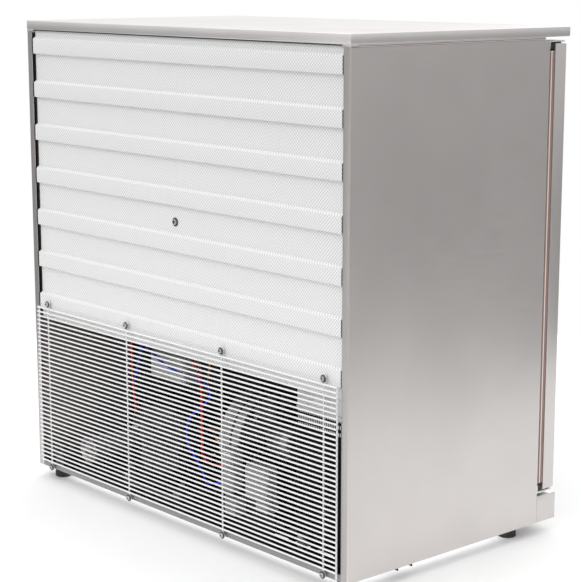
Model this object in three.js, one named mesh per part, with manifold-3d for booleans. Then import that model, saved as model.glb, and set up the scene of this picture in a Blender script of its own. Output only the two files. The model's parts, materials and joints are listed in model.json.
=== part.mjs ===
// A two-door refrigerated back-bar cabinet, in millimetres.
// +Z is up, the doors face -Y and the machine room opens at +Y. The origin is the middle of the footprint.
import * as THREE from 'three';
import { mergeVertices } from 'three/addons/utils/BufferGeometryUtils.js';
import Module from 'manifold-3d';

const wasm = await Module();
wasm.setup();

// ---- Driving dimensions ----
const cabinetWidth = 900;
const overallHeight = 900;
const worktopDepth = 515.5;
const bodyDepth = 463; // sheet-metal body, front to back
const worktopThickness = 16;
const worktopGap = 5.5; // shadow gap between body and worktop
const footHeight = 24;
const fit = 0.3; // clearance between pieces that touch
const sheet = 1; // folded cabinet sheet
const rearFlange = 16;
const frontFlange = 20;
const endFlange = 15; // top and bottom
const machineBayHeight = 301; // body bottom to rear panel's lower edge
const machineBayDepth = 227;
const sideInsulation = 42;
const rearInsulation = 48;
const stepInsulation = 41; // above the machine room
const bayInsulation = 40; // in front of the machine room
const bayRoofRise = 9; // rear panel's lower edge to the machine room's roof
const cutPast = 5; // how far a cut runs beyond the surface it opens
const cutShy = 2; // the same where something stands close by
const overlap = 1; // how far joined solids run into each other

// doors
const doorThickness = 28;
const doorStandOff = 15.4; // door back to body front, filled by the gasket
const doorBottomRise = 59.4; // body bottom to door
const doorTopDrop = 12.1; // worktop underside to door
const doorSplit = 4; // gap between the two doors
const stileWidth = 46;
const paneThickness = 4;
const paneOverlap = 8; // glass held behind the frame's lip
const hingeInset = 12;
const hingeSetBack = 13.4; // hinge axis behind the door's front
const hingePinDiameter = 8;
const hingePlate = 2.5;
const gasketInset = 13;
const gasketWidth = 14;
const lockDiameter = 16;
const gripLength = 300;
const gripWidth = 20;
const gripDepth = 14;

// front plinth and its control panel
const plinthHeight = 48.8;
const plinthSetBack = 2.6; // behind the worktop's front edge
const controlWidth = 118;
const controlHeight = 36;
const bezelThickness = 1.5;
const buttonTravel = 0.8;

// rear panel and grille
const panelThickness = 1.2;
const bandHeight = 32;
const bandPitch = 82.1;
const bandRise = 6;
const bandSlope = 4;
const firstBand = 20; // rear panel's lower edge to its first band
const panelSideGap = 3.3;
const panelSetBack = 0.5; // bands behind the body's rear edge
const wireDiameter = 3.2;
const wirePitch = 8.55;
const firstWire = 15.6; // body bottom to the first wire
const grilleLap = 22.4; // how far the wires run up over the rear panel
const grilleEndInset = 20;
const outerUprightInset = 22;
const screwInset = 53;
const screwInnerX = 138;
const screwHeadDiameter = 9;
const screwHeadThickness = 5;
const washerThickness = 1;
const washerDiameter = 12;
const shankDiameter = 4;
const baseLip = 12;
const panThickness = 1.2;

// feet
const footDiameter = 32.5;
const footInsetX = 36;
const footInsetRear = 33;
const footInsetFront = 37;
const studDiameter = 8;
const studLength = 17;
const studPlay = 1;
const footTravel = 12;

// interior
const linerSheet = 1;
const cavityFloorRise = 88; // body bottom to the cavity floor
const cavityTopDrop = 35.5; // body top to the cavity ceiling
const mullionWidth = 50;
const mullionDepth = 30;
const shelfWire = 4;
const lowerShelfRise = 25; // above the step
const upperShelfDrop = 73; // below the cooling unit

// ---- Derived frame ----
const grilleStandOff = 9.5; // screw heads beyond the worktop's rear edge
const totalDepth = worktopDepth + grilleStandOff;
const worktopFrontY = -totalDepth / 2;
const rearY = worktopFrontY + worktopDepth;
const bodyFrontY = rearY - bodyDepth;
const halfWidth = cabinetWidth / 2;
const baseZ = footHeight;
const worktopZ = overallHeight - worktopThickness;
const bodyTopZ = worktopZ - worktopGap;
const panelBottomZ = baseZ + machineBayHeight;
const bayFrontY = rearY - machineBayDepth;
const bayRoofZ = panelBottomZ + bayRoofRise;
const panFloorZ = baseZ + sheet + fit + panThickness;
const doorBackY = bodyFrontY - doorStandOff;
const doorFrontY = doorBackY - doorThickness;
const doorBottomZ = baseZ + doorBottomRise;
const doorTopZ = worktopZ - doorTopDrop;
const doorWidth = halfWidth - doorSplit / 2;
const plinthFrontY = worktopFrontY + plinthSetBack;
const plinthTopZ = baseZ + plinthHeight;
const cavityFloorZ = baseZ + cavityFloorRise;
const cavityTopZ = bodyTopZ - cavityTopDrop;
const cavityHalfWidth = halfWidth - sideInsulation;
const cavityRearY = rearY - rearInsulation;
const stepTopZ = bayRoofZ + stepInsulation;
const stepFrontY = bayFrontY - bayInsulation;
const panelRecessY = rearY - bandRise - panelSetBack;

// ---- Shape helpers ----
function solid(geometry) {
  const bare = geometry.index ? geometry.clone() : mergeVertices(geometry);
  bare.deleteAttribute('normal');
  bare.deleteAttribute('uv');
  const merged = mergeVertices(bare, 1e-4);
  return new wasm.Manifold(new wasm.Mesh({
    numProp: 3,
    vertProperties: new Float32Array(merged.attributes.position.array),
    triVerts: new Uint32Array(merged.index.array),
  }));
}

function geometryOf(manifold) {
  const mesh = manifold.getMesh();
  const geometry = new THREE.BufferGeometry();
  geometry.setAttribute('position', new THREE.BufferAttribute(mesh.vertProperties, 3));
  geometry.setIndex(new THREE.BufferAttribute(mesh.triVerts, 1));
  return geometry;
}

function block(x0, x1, y0, y1, z0, z1) {
  const geometry = new THREE.BoxGeometry(x1 - x0, y1 - y0, z1 - z0);
  geometry.translate((x0 + x1) / 2, (y0 + y1) / 2, (z0 + z1) / 2);
  return solid(geometry);
}

// A block drawn for the +X side and mirrored by its side's sign.
function sided(side, x0, x1, y0, y1, z0, z1) {
  return block(Math.min(side * x0, side * x1), Math.max(side * x0, side * x1), y0, y1, z0, z1);
}

// A cylinder from one point along an axis letter, with its length signed.
function rod(axis, x, y, z, diameter, length, sides = 24) {
  const geometry = new THREE.CylinderGeometry(diameter / 2, diameter / 2, Math.abs(length), sides);
  geometry.translate(0, length / 2, 0);
  if (axis === 'x') {
    geometry.rotateZ(-Math.PI / 2);
  }
  if (axis === 'z') {
    geometry.rotateX(Math.PI / 2);
  }
  geometry.translate(x, y, z);
  return solid(geometry);
}

// An outline of [y, z] points, extruded along X.
function extrudeAlongX(outline, x0, x1) {
  const shape = new THREE.Shape(outline.map(([y, z]) => new THREE.Vector2(y, z)));
  const geometry = new THREE.ExtrudeGeometry(shape, { depth: x1 - x0, bevelEnabled: false });
  geometry.applyMatrix4(new THREE.Matrix4().set(0, 0, 1, x0, 1, 0, 0, 0, 0, 1, 0, 0, 0, 0, 0, 1));
  return solid(geometry);
}

function joined(...solids) {
  return solids.reduce((all, next) => all.add(next));
}

// A round bar swept through hand-set points.
function tube(points, diameter, sides, steps) {
  const path = new THREE.CatmullRomCurve3(points.map(([x, y, z]) => new THREE.Vector3(x, y, z)));
  const section = new THREE.Shape();
  for (let i = 0; i < sides; i += 1) {
    const angle = (i / sides) * 2 * Math.PI;
    const x = (Math.cos(angle) * diameter) / 2;
    const y = (Math.sin(angle) * diameter) / 2;
    if (i === 0) {
      section.moveTo(x, y);
    } else {
      section.lineTo(x, y);
    }
  }
  section.closePath();
  return solid(new THREE.ExtrudeGeometry(section, { steps, extrudePath: path, bevelEnabled: false }));
}

const material = (color, roughness, metalness, opacity = 1) => new THREE.MeshStandardMaterial({
  color, roughness, metalness, opacity, transparent: opacity < 1,
});
const stainless = () => material(0xb4b1ae, 0.38, 0.9);
const whiteSheet = () => material(0xf0f0f0, 0.45, 0.2);
const whiteWire = () => material(0xf4f4f4, 0.4, 0.1);
const galvanised = () => material(0x9a9a9a, 0.5, 0.8);
const blackPlastic = () => material(0x151515, 0.5, 0);
const blackSteel = () => material(0x101012, 0.28, 0.4);
const rubber = () => material(0x242625, 0.8, 0);
const greyPlastic = () => material(0xb9b9b9, 0.55, 0);
const glass = () => material(0xcfe0e0, 0.05, 0, 0.3);
const foam = () => material(0xe6d9a8, 0.9, 0);
const aluminium = () => material(0xd5d7d8, 0.35, 0.8);
const copper = () => material(0xb86b3c, 0.35, 0.9);
const brightSteel = () => material(0xc8c8c8, 0.2, 1);

const cabinet = new THREE.Group();

function add(name, shape, finish, parent = cabinet) {
  const mesh = new THREE.Mesh(geometryOf(shape), finish);
  mesh.name = name;
  parent.add(mesh);
  return mesh;
}

const sides = [['left', -1], ['right', 1]];

// ---- Side panels: sheet folded in at the rear, front, top and bottom ----
function sidePanel(side) {
  const insideX = halfWidth - frontFlange - cutPast;
  const insideY = bodyFrontY + sheet;
  const endX = halfWidth - endFlange;
  const low = baseZ + sheet;
  const high = bodyTopZ - sheet;
  return sided(side, halfWidth - frontFlange, halfWidth, bodyFrontY, rearY, baseZ, bodyTopZ)
    .subtract(sided(side, insideX, halfWidth - sheet, insideY, rearY - sheet, low, high))
    .subtract(sided(side, insideX, halfWidth - rearFlange, rearY - sheet - cutShy, rearY + cutPast,
      baseZ - cutPast, bodyTopZ + cutPast))
    .subtract(sided(side, insideX, endX, insideY, rearY + cutPast, low - cutPast, low + cutShy))
    .subtract(sided(side, insideX, endX, insideY, rearY + cutPast, high - cutShy, high + cutPast));
}
for (const [label, side] of sides) {
  add(`${label}_side_panel`, sidePanel(side), stainless());
}

// ---- Worktop: a wrapped board with a thinner pad that rests on the body ----
const padInset = 8;
const padRearInset = 18;
const worktop = joined(
  block(-halfWidth, halfWidth, worktopFrontY, rearY, worktopZ, overallHeight),
  block(-halfWidth + padInset, halfWidth - padInset, bodyFrontY + padInset, rearY - padRearInset,
    bodyTopZ + fit, worktopZ + overlap),
);
add('worktop', worktop, stainless());

// ---- Foamed body and its stepped liner ----
const cavityOutline = (grow, frontY) => [
  [frontY, cavityFloorZ - grow],
  [stepFrontY + grow, cavityFloorZ - grow],
  [stepFrontY + grow, stepTopZ - grow],
  [cavityRearY + grow, stepTopZ - grow],
  [cavityRearY + grow, cavityTopZ + grow],
  [frontY, cavityTopZ + grow],
];
const foamLift = 1.2;
const openPast = 20; // how far the cavity's outline runs out of the front
const foamBottomZ = plinthTopZ + foamLift;
const foamFrontY = bodyFrontY + sheet + fit;
const foamOutline = [
  [foamFrontY, foamBottomZ],
  [bayFrontY, foamBottomZ],
  [bayFrontY, bayRoofZ],
  [panelRecessY - panelThickness - fit, bayRoofZ],
  [panelRecessY - panelThickness - fit, bodyTopZ - sheet - fit],
  [foamFrontY, bodyTopZ - sheet - fit],
];
const foamHalfWidth = halfWidth - sheet - fit;
const linerOuter = cavityHalfWidth + linerSheet;
const foamCavity = cavityOutline(linerSheet + fit, foamFrontY - openPast);
const foamBody = extrudeAlongX(foamOutline, -foamHalfWidth, foamHalfWidth)
  .subtract(extrudeAlongX(foamCavity, -linerOuter - fit, linerOuter + fit));
add('insulation_foam', foamBody, foam());

const linerFlangeX = halfWidth - frontFlange - fit;
const linerFlange = block(-linerFlangeX, linerFlangeX, bodyFrontY, bodyFrontY + linerSheet,
  foamBottomZ, bodyTopZ - sheet - fit);
const liner = extrudeAlongX(cavityOutline(linerSheet, bodyFrontY), -linerOuter, linerOuter)
  .add(linerFlange)
  .subtract(extrudeAlongX(cavityOutline(0, bodyFrontY - openPast), -cavityHalfWidth, cavityHalfWidth));
add('inner_liner', liner, aluminium());

add('centre_mullion', block(-mullionWidth / 2, mullionWidth / 2, bodyFrontY, bodyFrontY + mullionDepth,
  cavityFloorZ + fit, cavityTopZ - fit), aluminium());

// ---- Rear panel: raised bands across a flat sheet ----
const panelTopLap = 2.5; // above the body's top, under the worktop
const panelTopZ = bodyTopZ + panelTopLap;
const bandCount = Math.floor((panelTopZ - panelBottomZ - firstBand - bandHeight) / bandPitch) + 1;
function bandEdges() {
  const line = [[panelRecessY, panelBottomZ]];
  for (let i = 0; i < bandCount; i += 1) {
    const low = panelBottomZ + firstBand + i * bandPitch;
    line.push([panelRecessY, low]);
    line.push([panelRecessY + bandRise, low + bandSlope]);
    line.push([panelRecessY + bandRise, low + bandHeight - bandSlope]);
    line.push([panelRecessY, low + bandHeight]);
  }
  line.push([panelRecessY, panelTopZ]);
  return line;
}
const panelFront = bandEdges();
const panelBack = panelFront.map(([y, z]) => [y - panelThickness, z]).reverse();
const panelHalfWidth = halfWidth - rearFlange - panelSideGap;
const screwXs = [-halfWidth + screwInset, -screwInnerX, screwInnerX, halfWidth - screwInset];
const screwUpBand = 11.5;
const screwRise = 3.7; // body bottom to the lower screws
const topScrewZ = panelBottomZ + firstBand + screwUpBand;
const bottomScrewZ = baseZ + screwRise;
const screwHoleDiameter = 5;
function screwHole(x, z, depth) {
  return rod('y', x, rearY - depth, z, screwHoleDiameter, depth + 2 * cutPast, 12);
}
let rearPanel = extrudeAlongX([...panelFront, ...panelBack], -panelHalfWidth, panelHalfWidth);
for (const x of screwXs) {
  rearPanel = rearPanel.subtract(screwHole(x, topScrewZ, 20));
}
add('rear_panel', rearPanel, whiteSheet());

// ---- Base pan, with a rear lip, stud holes and two rows of vents under the condenser ----
const footXs = [-halfWidth + footInsetX, halfWidth - footInsetX];
const footYs = [['front', bodyFrontY + footInsetFront], ['rear', rearY - footInsetRear]];
const ventLength = 40;
const ventWidth = 8;
const ventPitch = 57;
const ventRows = [rearY - 116, rearY - 73];
const ventsFrom = -130;
const ventsPerRow = 4;
const panHalfWidth = halfWidth - sheet - fit;
const lipY = rearY - fit;
const lipPlay = 0.5;
const lipHalfWidth = halfWidth - rearFlange - lipPlay;
let basePan = joined(
  block(-panHalfWidth, panHalfWidth, bodyFrontY + sheet + fit, lipY - panThickness - fit,
    panFloorZ - panThickness, panFloorZ),
  block(-lipHalfWidth, lipHalfWidth, lipY - panThickness - overlap, lipY,
    panFloorZ - panThickness, panFloorZ),
  block(-lipHalfWidth, lipHalfWidth, lipY - panThickness, lipY, baseZ, baseZ + baseLip),
);
for (const x of screwXs) {
  basePan = basePan.subtract(screwHole(x, bottomScrewZ, 8));
}
for (const x of footXs) {
  for (const [, y] of footYs) {
    basePan = basePan.subtract(rod('z', x, y, baseZ - cutPast, studDiameter + studPlay, studLength, 12));
  }
}
for (const y of ventRows) {
  for (let i = 0; i < ventsPerRow; i += 1) {
    const x = ventsFrom - i * ventPitch;
    basePan = basePan.subtract(block(x - ventLength, x, y, y + ventWidth,
      baseZ - cutPast, panFloorZ + cutPast));
  }
}
add('base_pan', basePan, galvanised());

const crossbarY = rearY - 154;
const crossbarWidth = 35;
const crossbarHeight = 6.7;
const crossbarSheet = 2;
const crossbarInset = 5;
const crossbarX = halfWidth - crossbarInset;
const crossbar = block(-crossbarX, crossbarX, crossbarY, crossbarY + crossbarWidth,
  baseZ - fit - crossbarHeight, baseZ - fit)
  .subtract(block(-crossbarX - cutPast, crossbarX + cutPast,
    crossbarY + crossbarSheet, crossbarY + crossbarWidth - crossbarSheet,
    baseZ - crossbarHeight - cutPast, baseZ - fit - crossbarSheet));
add('base_crossbar', crossbar, blackSteel());

// ---- Feet: rubber pads on studs ----
const footPad = joined(
  rod('z', 0, 0, 0, footDiameter, baseZ - fit, 24),
  rod('z', 0, 0, baseZ - overlap, studDiameter, studLength, 10),
);
for (const [place, y] of footYs) {
  for (const [i, [label]] of sides.entries()) {
    const foot = add(`${place}_${label}_foot`, footPad, rubber());
    foot.position.set(footXs[i], y, 0);
  }
}

// ---- Front plinth: a folded cover with vents and a cut-out for the control panel ----
const plinthSheet = 1.2;
const plinthBackY = bodyFrontY - fit;
const controlInset = 130;
const controlX = halfWidth - controlInset;
const controlZ = baseZ + plinthHeight / 2;
const controlCutMargin = 3;
const controlBodyDepth = 38;
// An upright block as large as the control panel, less a margin all round.
function controlBlock(margin, y0, y1) {
  const halfX = controlWidth / 2 - margin;
  const halfZ = controlHeight / 2 - margin;
  return block(controlX - halfX, controlX + halfX, y0, y1, controlZ - halfZ, controlZ + halfZ);
}
let plinth = block(-halfWidth, halfWidth, plinthFrontY, plinthBackY, baseZ, plinthTopZ)
  .subtract(block(-halfWidth + plinthSheet, halfWidth - plinthSheet,
    plinthFrontY + plinthSheet, plinthBackY + cutPast, baseZ + plinthSheet, plinthTopZ - plinthSheet));
plinth = plinth.subtract(controlBlock(controlCutMargin, plinthFrontY - cutPast, plinthFrontY + cutPast));
const plinthSlots = 9;
const plinthSlotPitch = 48;
const plinthSlotLength = 36;
const plinthSlotHeight = 4;
const plinthSlotInset = 60;
const plinthSlotRises = [17, 28];
for (let i = 0; i < plinthSlots; i += 1) {
  const x = -halfWidth + plinthSlotInset + i * plinthSlotPitch;
  for (const rise of plinthSlotRises) {
    plinth = plinth.subtract(block(x, x + plinthSlotLength, plinthFrontY - cutPast, plinthFrontY + cutPast,
      baseZ + rise, baseZ + rise + plinthSlotHeight));
  }
}
add('front_plinth', plinth, stainless());

// ---- Control panel: bezel and housing with pockets for three buttons and a rocker ----
const bezelFrontY = plinthFrontY - bezelThickness;
const buttonWidth = 9;
const buttonHeight = 6;
const buttonDepth = 3;
const buttonProud = 0.8;
const firstButton = 38; // control panel's end to the first button
const buttonPitch = 14;
const buttonDrop = 9;
const buttonXs = [0, 1, 2].map((i) => controlX - controlWidth / 2 + firstButton + i * buttonPitch);
const buttonZ = controlZ - buttonDrop;
const rockerInset = 18;
const rockerX = controlX + controlWidth / 2 - rockerInset;
const rockerWidth = 13;
const rockerHeight = 20;
const rockerDepth = 6;
const rockerPivotDepth = 4;
const rockerPivotY = bezelFrontY + rockerPivotDepth;
let controlPanel = joined(
  controlBlock(0, bezelFrontY, plinthFrontY - fit),
  controlBlock(controlCutMargin + fit, bezelFrontY + bezelThickness / 2, plinthFrontY + controlBodyDepth),
);
// A pocket in the control panel's front.
function pocket(x, z, width, height, depth) {
  return block(x - width / 2, x + width / 2, bezelFrontY - cutPast, bezelFrontY + depth,
    z - height / 2, z + height / 2);
}
for (const x of buttonXs) {
  controlPanel = controlPanel.subtract(
    pocket(x, buttonZ, buttonWidth + 2 * fit, buttonHeight + 2 * fit, buttonDepth + buttonTravel + fit),
  );
}
const rockerPocketDepth = 13;
const rockerPlay = 2;
controlPanel = controlPanel.subtract(
  pocket(rockerX, controlZ, rockerWidth + 2 * fit, rockerHeight + rockerPlay, rockerPocketDepth),
);
add('control_panel', controlPanel, blackPlastic());
const buttonNames = ['set_button', 'down_button', 'up_button'];
for (const [i, name] of buttonNames.entries()) {
  const button = add(name, block(-buttonWidth / 2, buttonWidth / 2, -buttonProud, buttonDepth,
    -buttonHeight / 2, buttonHeight / 2), greyPlastic());
  button.position.set(buttonXs[i], bezelFrontY, buttonZ);
}
const rockerTilt = THREE.MathUtils.degToRad(5);
const rockerTrim = 1.5;
const rockerProud = 1;
const rockerShape = new THREE.BoxGeometry(rockerWidth, rockerDepth, rockerHeight - rockerTrim);
rockerShape.translate(0, -rockerProud, 0);
const rocker = new THREE.Mesh(geometryOf(solid(rockerShape)), blackPlastic());
rocker.name = 'light_switch';
rocker.position.set(rockerX, rockerPivotY, controlZ);
rocker.rotation.x = -rockerTilt;
cabinet.add(rocker);

// ---- Doors ----
const hingeX = halfWidth - hingeInset;
const hingeY = doorFrontY + hingeSetBack;
const lockDrop = 90;
const lockZ = doorTopZ - lockDrop;
const lockProud = 1.2;
const lockDepth = 14;
const doorMiddleZ = (doorBottomZ + doorTopZ) / 2;
const pinReach = 12;

const pinPlay = 0.8;
const keySlotLength = 8;
const keySlotWidth = 1.6;
const keySlotDepth = 3;
const gripInset = 13;
const doorInnerX = doorSplit / 2;
// A slab of a door, an equal inset away from all four of its edges.
function doorSlab(side, inset, y0, y1) {
  return sided(side, doorInnerX + inset, halfWidth - inset, y0, y1, doorBottomZ + inset, doorTopZ - inset);
}
function doorRing(side, inset, width, y0, y1) {
  return doorSlab(side, inset, y0, y1).subtract(doorSlab(side, inset + width, y0 - cutPast, y1 + cutPast));
}
const lockX = doorInnerX + stileWidth / 2;
const gripX = doorInnerX + gripInset;
for (const [label, side] of sides) {
  const door = new THREE.Group();
  cabinet.add(door);
  const rebate = stileWidth - paneOverlap;
  const lip = 1;
  const rebateDepth = paneThickness + lip;
  const pinHole = hingePinDiameter + pinPlay;
  const lockHole = lockDiameter + pinPlay;
  const frame = doorRing(side, 0, stileWidth, doorFrontY, doorBackY)
    .subtract(doorSlab(side, rebate, doorFrontY - cutPast, doorFrontY + rebateDepth))
    .subtract(doorSlab(side, rebate, doorBackY - rebateDepth, doorBackY + cutPast))
    .subtract(rod('z', side * hingeX, hingeY, doorTopZ + cutShy, pinHole, -pinReach - 2 * cutShy))
    .subtract(rod('z', side * hingeX, hingeY, doorBottomZ - cutShy, pinHole, pinReach + 2 * cutShy))
    .subtract(rod('y', side * lockX, doorFrontY - cutShy, lockZ, lockHole, lockDepth + cutShy + overlap))
    .subtract(sided(side, gripX, gripX + gripWidth, doorFrontY - cutPast, doorFrontY + gripDepth,
      doorMiddleZ - gripLength / 2, doorMiddleZ + gripLength / 2));
  add(`${label}_door_frame`, frame, stainless(), door);
  const pane = (y0) => doorSlab(side, rebate + fit, y0, y0 + paneThickness);
  add(`${label}_outer_pane`, pane(doorFrontY + lip - fit), glass(), door);
  add(`${label}_inner_pane`, pane(doorBackY - rebateDepth + fit), glass(), door);
  add(`${label}_door_gasket`, doorRing(side, gasketInset, gasketWidth, doorBackY + fit, bodyFrontY - fit),
    material(0x6b5f5a, 0.7, 0), door);
  const keySlot = block(side * lockX - keySlotLength / 2, side * lockX + keySlotLength / 2,
    doorFrontY - keySlotDepth, doorFrontY + keySlotDepth, lockZ - keySlotWidth / 2, lockZ + keySlotWidth / 2);
  const barrel = rod('y', side * lockX, doorFrontY - lockProud, lockZ, lockDiameter, lockProud + lockDepth);
  add(`${label}_door_lock`, barrel.subtract(keySlot), brightSteel(), door);
}

// ---- Hinges: folded plates screwed to the body, with their pins ----
const topPlateZ = doorTopZ + hingePlate;
const bottomPlateZ = doorBottomZ - hingePlate;
const hingePlateReach = 10;
const hingeLegDrop = 12;
const hingeInward = 20; // hinge plate from its pin towards the middle
function hinge(side, plateZ, direction) {
  const z = (a, b) => [Math.min(plateZ + direction * a, plateZ + direction * b),
    Math.max(plateZ + direction * a, plateZ + direction * b)];
  const backY = bodyFrontY - fit;
  const x = [hingeX - hingeInward, halfWidth - sheet];
  return joined(
    sided(side, ...x, hingeY - hingePlateReach, backY, ...z(0, hingePlate)),
    sided(side, ...x, backY - hingePlate, backY, ...z(hingePlate, -hingeLegDrop)),
    rod('z', side * hingeX, hingeY, plateZ + direction, hingePinDiameter,
      -direction * (hingePlate + pinReach)),
  );
}
for (const [label, side] of sides) {
  add(`${label}_top_hinge`, hinge(side, topPlateZ, 1), brightSteel());
  add(`${label}_bottom_hinge`, hinge(side, bottomPlateZ, -1), brightSteel());
}

// ---- Rear grille: level wires welded to uprights with eyes at their ends ----
const wireStandOff = 7;
const wireY = rearY + wireStandOff;
const eyeY = wireY - wireDiameter;
const wireCount = Math.round((panelBottomZ + grilleLap - baseZ - firstWire) / wirePitch) + 1;
const wireHalf = wireDiameter / 2;
const grilleHalfWidth = halfWidth - grilleEndInset;
const lowestWireZ = baseZ + firstWire;
const highestWireZ = lowestWireZ + (wireCount - 1) * wirePitch;
const eyeDiameter = 10;
const eyeReach = 3; // eye's middle to the wire that holds it
const lowestJoint = lowestWireZ - eyeReach;
const highestJoint = highestWireZ + wireHalf;
const outerUprightRise = 4; // body bottom to the outer uprights' ends
// An upright piece of square wire.
function upright(x, y0, y1, z0, z1) {
  return block(x - wireHalf, x + wireHalf, y0 - wireHalf, y1, z0, z1);
}
// An upright with an eye at each end, its eyes set back against the body.
function eyedUpright(x) {
  const through = (z) => rod('y', x, eyeY - cutPast, z, screwHoleDiameter, 2 * cutPast, 10);
  return joined(
    upright(x, wireY, wireY + wireHalf, lowestJoint, highestJoint),
    upright(x, eyeY, wireY, lowestJoint, lowestWireZ),
    upright(x, eyeY, wireY, highestWireZ, highestJoint),
    upright(x, eyeY, eyeY + wireHalf, bottomScrewZ + eyeReach, lowestWireZ),
    upright(x, eyeY, eyeY + wireHalf, highestWireZ, topScrewZ - eyeReach),
    rod('y', x, eyeY - wireHalf, bottomScrewZ, eyeDiameter, wireDiameter, 12),
    rod('y', x, eyeY - wireHalf, topScrewZ, eyeDiameter, wireDiameter, 12),
  ).subtract(through(bottomScrewZ)).subtract(through(topScrewZ));
}
const outerUprightX = halfWidth - outerUprightInset;
let grille = joined(
  ...[-1, 1].map((side) => upright(side * outerUprightX, wireY, wireY + wireHalf,
    baseZ + outerUprightRise, highestWireZ)),
  ...screwXs.map(eyedUpright),
);
for (let i = 0; i < wireCount; i += 1) {
  const z = lowestWireZ + i * wirePitch;
  grille = grille.add(block(-grilleHalfWidth, grilleHalfWidth, wireY - wireHalf, wireY + wireHalf,
    z - wireHalf, z + wireHalf));
}
add('rear_grille', grille, whiteWire());

// Corner screws of the grille: pan head, washer and shank.
const screwTipDepth = 4.5;
const screwTipY = rearY - screwTipDepth;
const headFrontY = rearY + grilleStandOff;
const eyeFrontY = eyeY + wireHalf;
const screwShape = joined(
  rod('y', 0, headFrontY, 0, screwHeadDiameter, -screwHeadThickness + overlap, 12),
  rod('y', 0, eyeFrontY + fit, 0, washerDiameter, washerThickness, 12),
  rod('y', 0, screwTipY, 0, shankDiameter, headFrontY - screwTipY - overlap, 8),
);
for (const [label, x] of [['left', screwXs[0]], ['right', screwXs[3]]]) {
  for (const [place, z] of [['top', topScrewZ], ['bottom', bottomScrewZ]]) {
    const screw = add(`${place}_${label}_screw`, screwShape, brightSteel());
    screw.position.set(x, 0, z);
  }
}

// ---- Machine room ----
const compressorX = 150;
const compressorY = rearY - 118;
const compressorFootZ = panFloorZ + 14;
const compressorRadius = 76;
const compressorHeight = 168;
const shellProfile = [
  [0, 0], [52, 0], [compressorRadius - 6, 12], [compressorRadius, 34], [compressorRadius, 108],
  [compressorRadius - 5, 132], [compressorRadius - 22, 154], [compressorRadius - 48, compressorHeight],
  [0, compressorHeight],
].map(([r, z]) => new THREE.Vector2(r, z));
const shellGeometry = new THREE.LatheGeometry(shellProfile, 24);
shellGeometry.rotateX(Math.PI / 2);
const footPlateX = 92;
const footPlateY = 58;
const footPlateThickness = 3;
const railX = 78;
const railHalfWidth = 9;
const railOverhang = 6;
const tieTopZ = panFloorZ + 4;
const compressorBody = joined(
  solid(shellGeometry).translate(compressorX, compressorY, compressorFootZ),
  block(compressorX - footPlateX, compressorX + footPlateX,
    compressorY - footPlateY, compressorY + footPlateY,
    compressorFootZ, compressorFootZ + footPlateThickness),
);
add('compressor', compressorBody, blackSteel());
const railY = footPlateY + railOverhang;
const rails = [-1, 1].map((side) => block(
  compressorX + side * railX - railHalfWidth, compressorX + side * railX + railHalfWidth,
  compressorY - railY, compressorY + railY, panFloorZ + fit, compressorFootZ - fit,
));
add('compressor_base', joined(
  ...rails,
  block(compressorX - railX, compressorX + railX, compressorY - railY, compressorY - footPlateY,
    panFloorZ + fit, tieTopZ),
  block(compressorX - railX, compressorX + railX, compressorY + footPlateY, compressorY + railY,
    panFloorZ + fit, tieTopZ),
), galvanised());

// Starter boxes: two moulded boxes with narrower lower halves, held on one upright bracket.
const boxFrontY = rearY - 41;
const boxRearY = rearY - 12;
const bracketFoot = 10;
const bracketSheet = 2;
const wideBox = { x: [-236, -176], z: [100, 164] };
const wideBoxFoot = { x: [-236, -204], z: [84, 102] };
const tallBox = { x: [-144, -112], z: [98, 178] };
const tallBoxFoot = { x: [-150, -120], z: [58, 100] };
const moulded = ({ x, z }, y0 = boxFrontY, y1 = boxRearY) => block(...x, y0, y1, ...z);
add('starter_box', joined(
  moulded(wideBox),
  moulded(wideBoxFoot, boxFrontY, boxRearY - bracketSheet),
  moulded(tallBox),
  moulded(tallBoxFoot, boxFrontY, boxRearY - bracketSheet),
  block(wideBox.x[0] + bracketFoot, tallBox.x[1] - bracketFoot, boxFrontY, boxFrontY + bracketSheet,
    panFloorZ + fit, wideBox.z[0] + bracketFoot),
  block(wideBox.x[0] + bracketFoot, tallBox.x[1] - bracketFoot, boxFrontY, boxFrontY + bracketFoot,
    panFloorZ + fit, panFloorZ + fit + bracketSheet),
), greyPlastic());

// Condenser: finned block between end plates, with a cap plate and four short legs.
const coilX = [-418, -268];
const coilY = [rearY - 195, rearY - 53];
const coilZ = [panFloorZ + 26, panFloorZ + 250];
const capHeight = 42;
const endPlate = 1.5;
const legWidth = 14;
const finInset = 4;
const endPlateLap = 2;
const plateZ = [coilZ[0] - endPlateLap, coilZ[1] + endPlateLap];
const coilBlock = [coilX[0] + finInset, coilX[1] - finInset, coilY[0] + endPlate, coilY[1] - endPlate];
const condenser = joined(
  block(...coilBlock, ...coilZ),
  block(...coilX, coilY[0], coilY[0] + endPlate + overlap, ...plateZ),
  block(...coilX, coilY[1] - endPlate - overlap, coilY[1], ...plateZ),
  block(coilX[0], coilX[1], coilY[0], coilY[1], coilZ[1], coilZ[1] + capHeight),
  ...[coilX[0], coilX[1] - legWidth].flatMap((x) => [coilY[0], coilY[1] - legWidth].map((y) => block(
    x, x + legWidth, y, y + legWidth, panFloorZ + fit, coilZ[0] + overlap,
  ))),
);
add('condenser_coil', condenser, aluminium());

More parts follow.
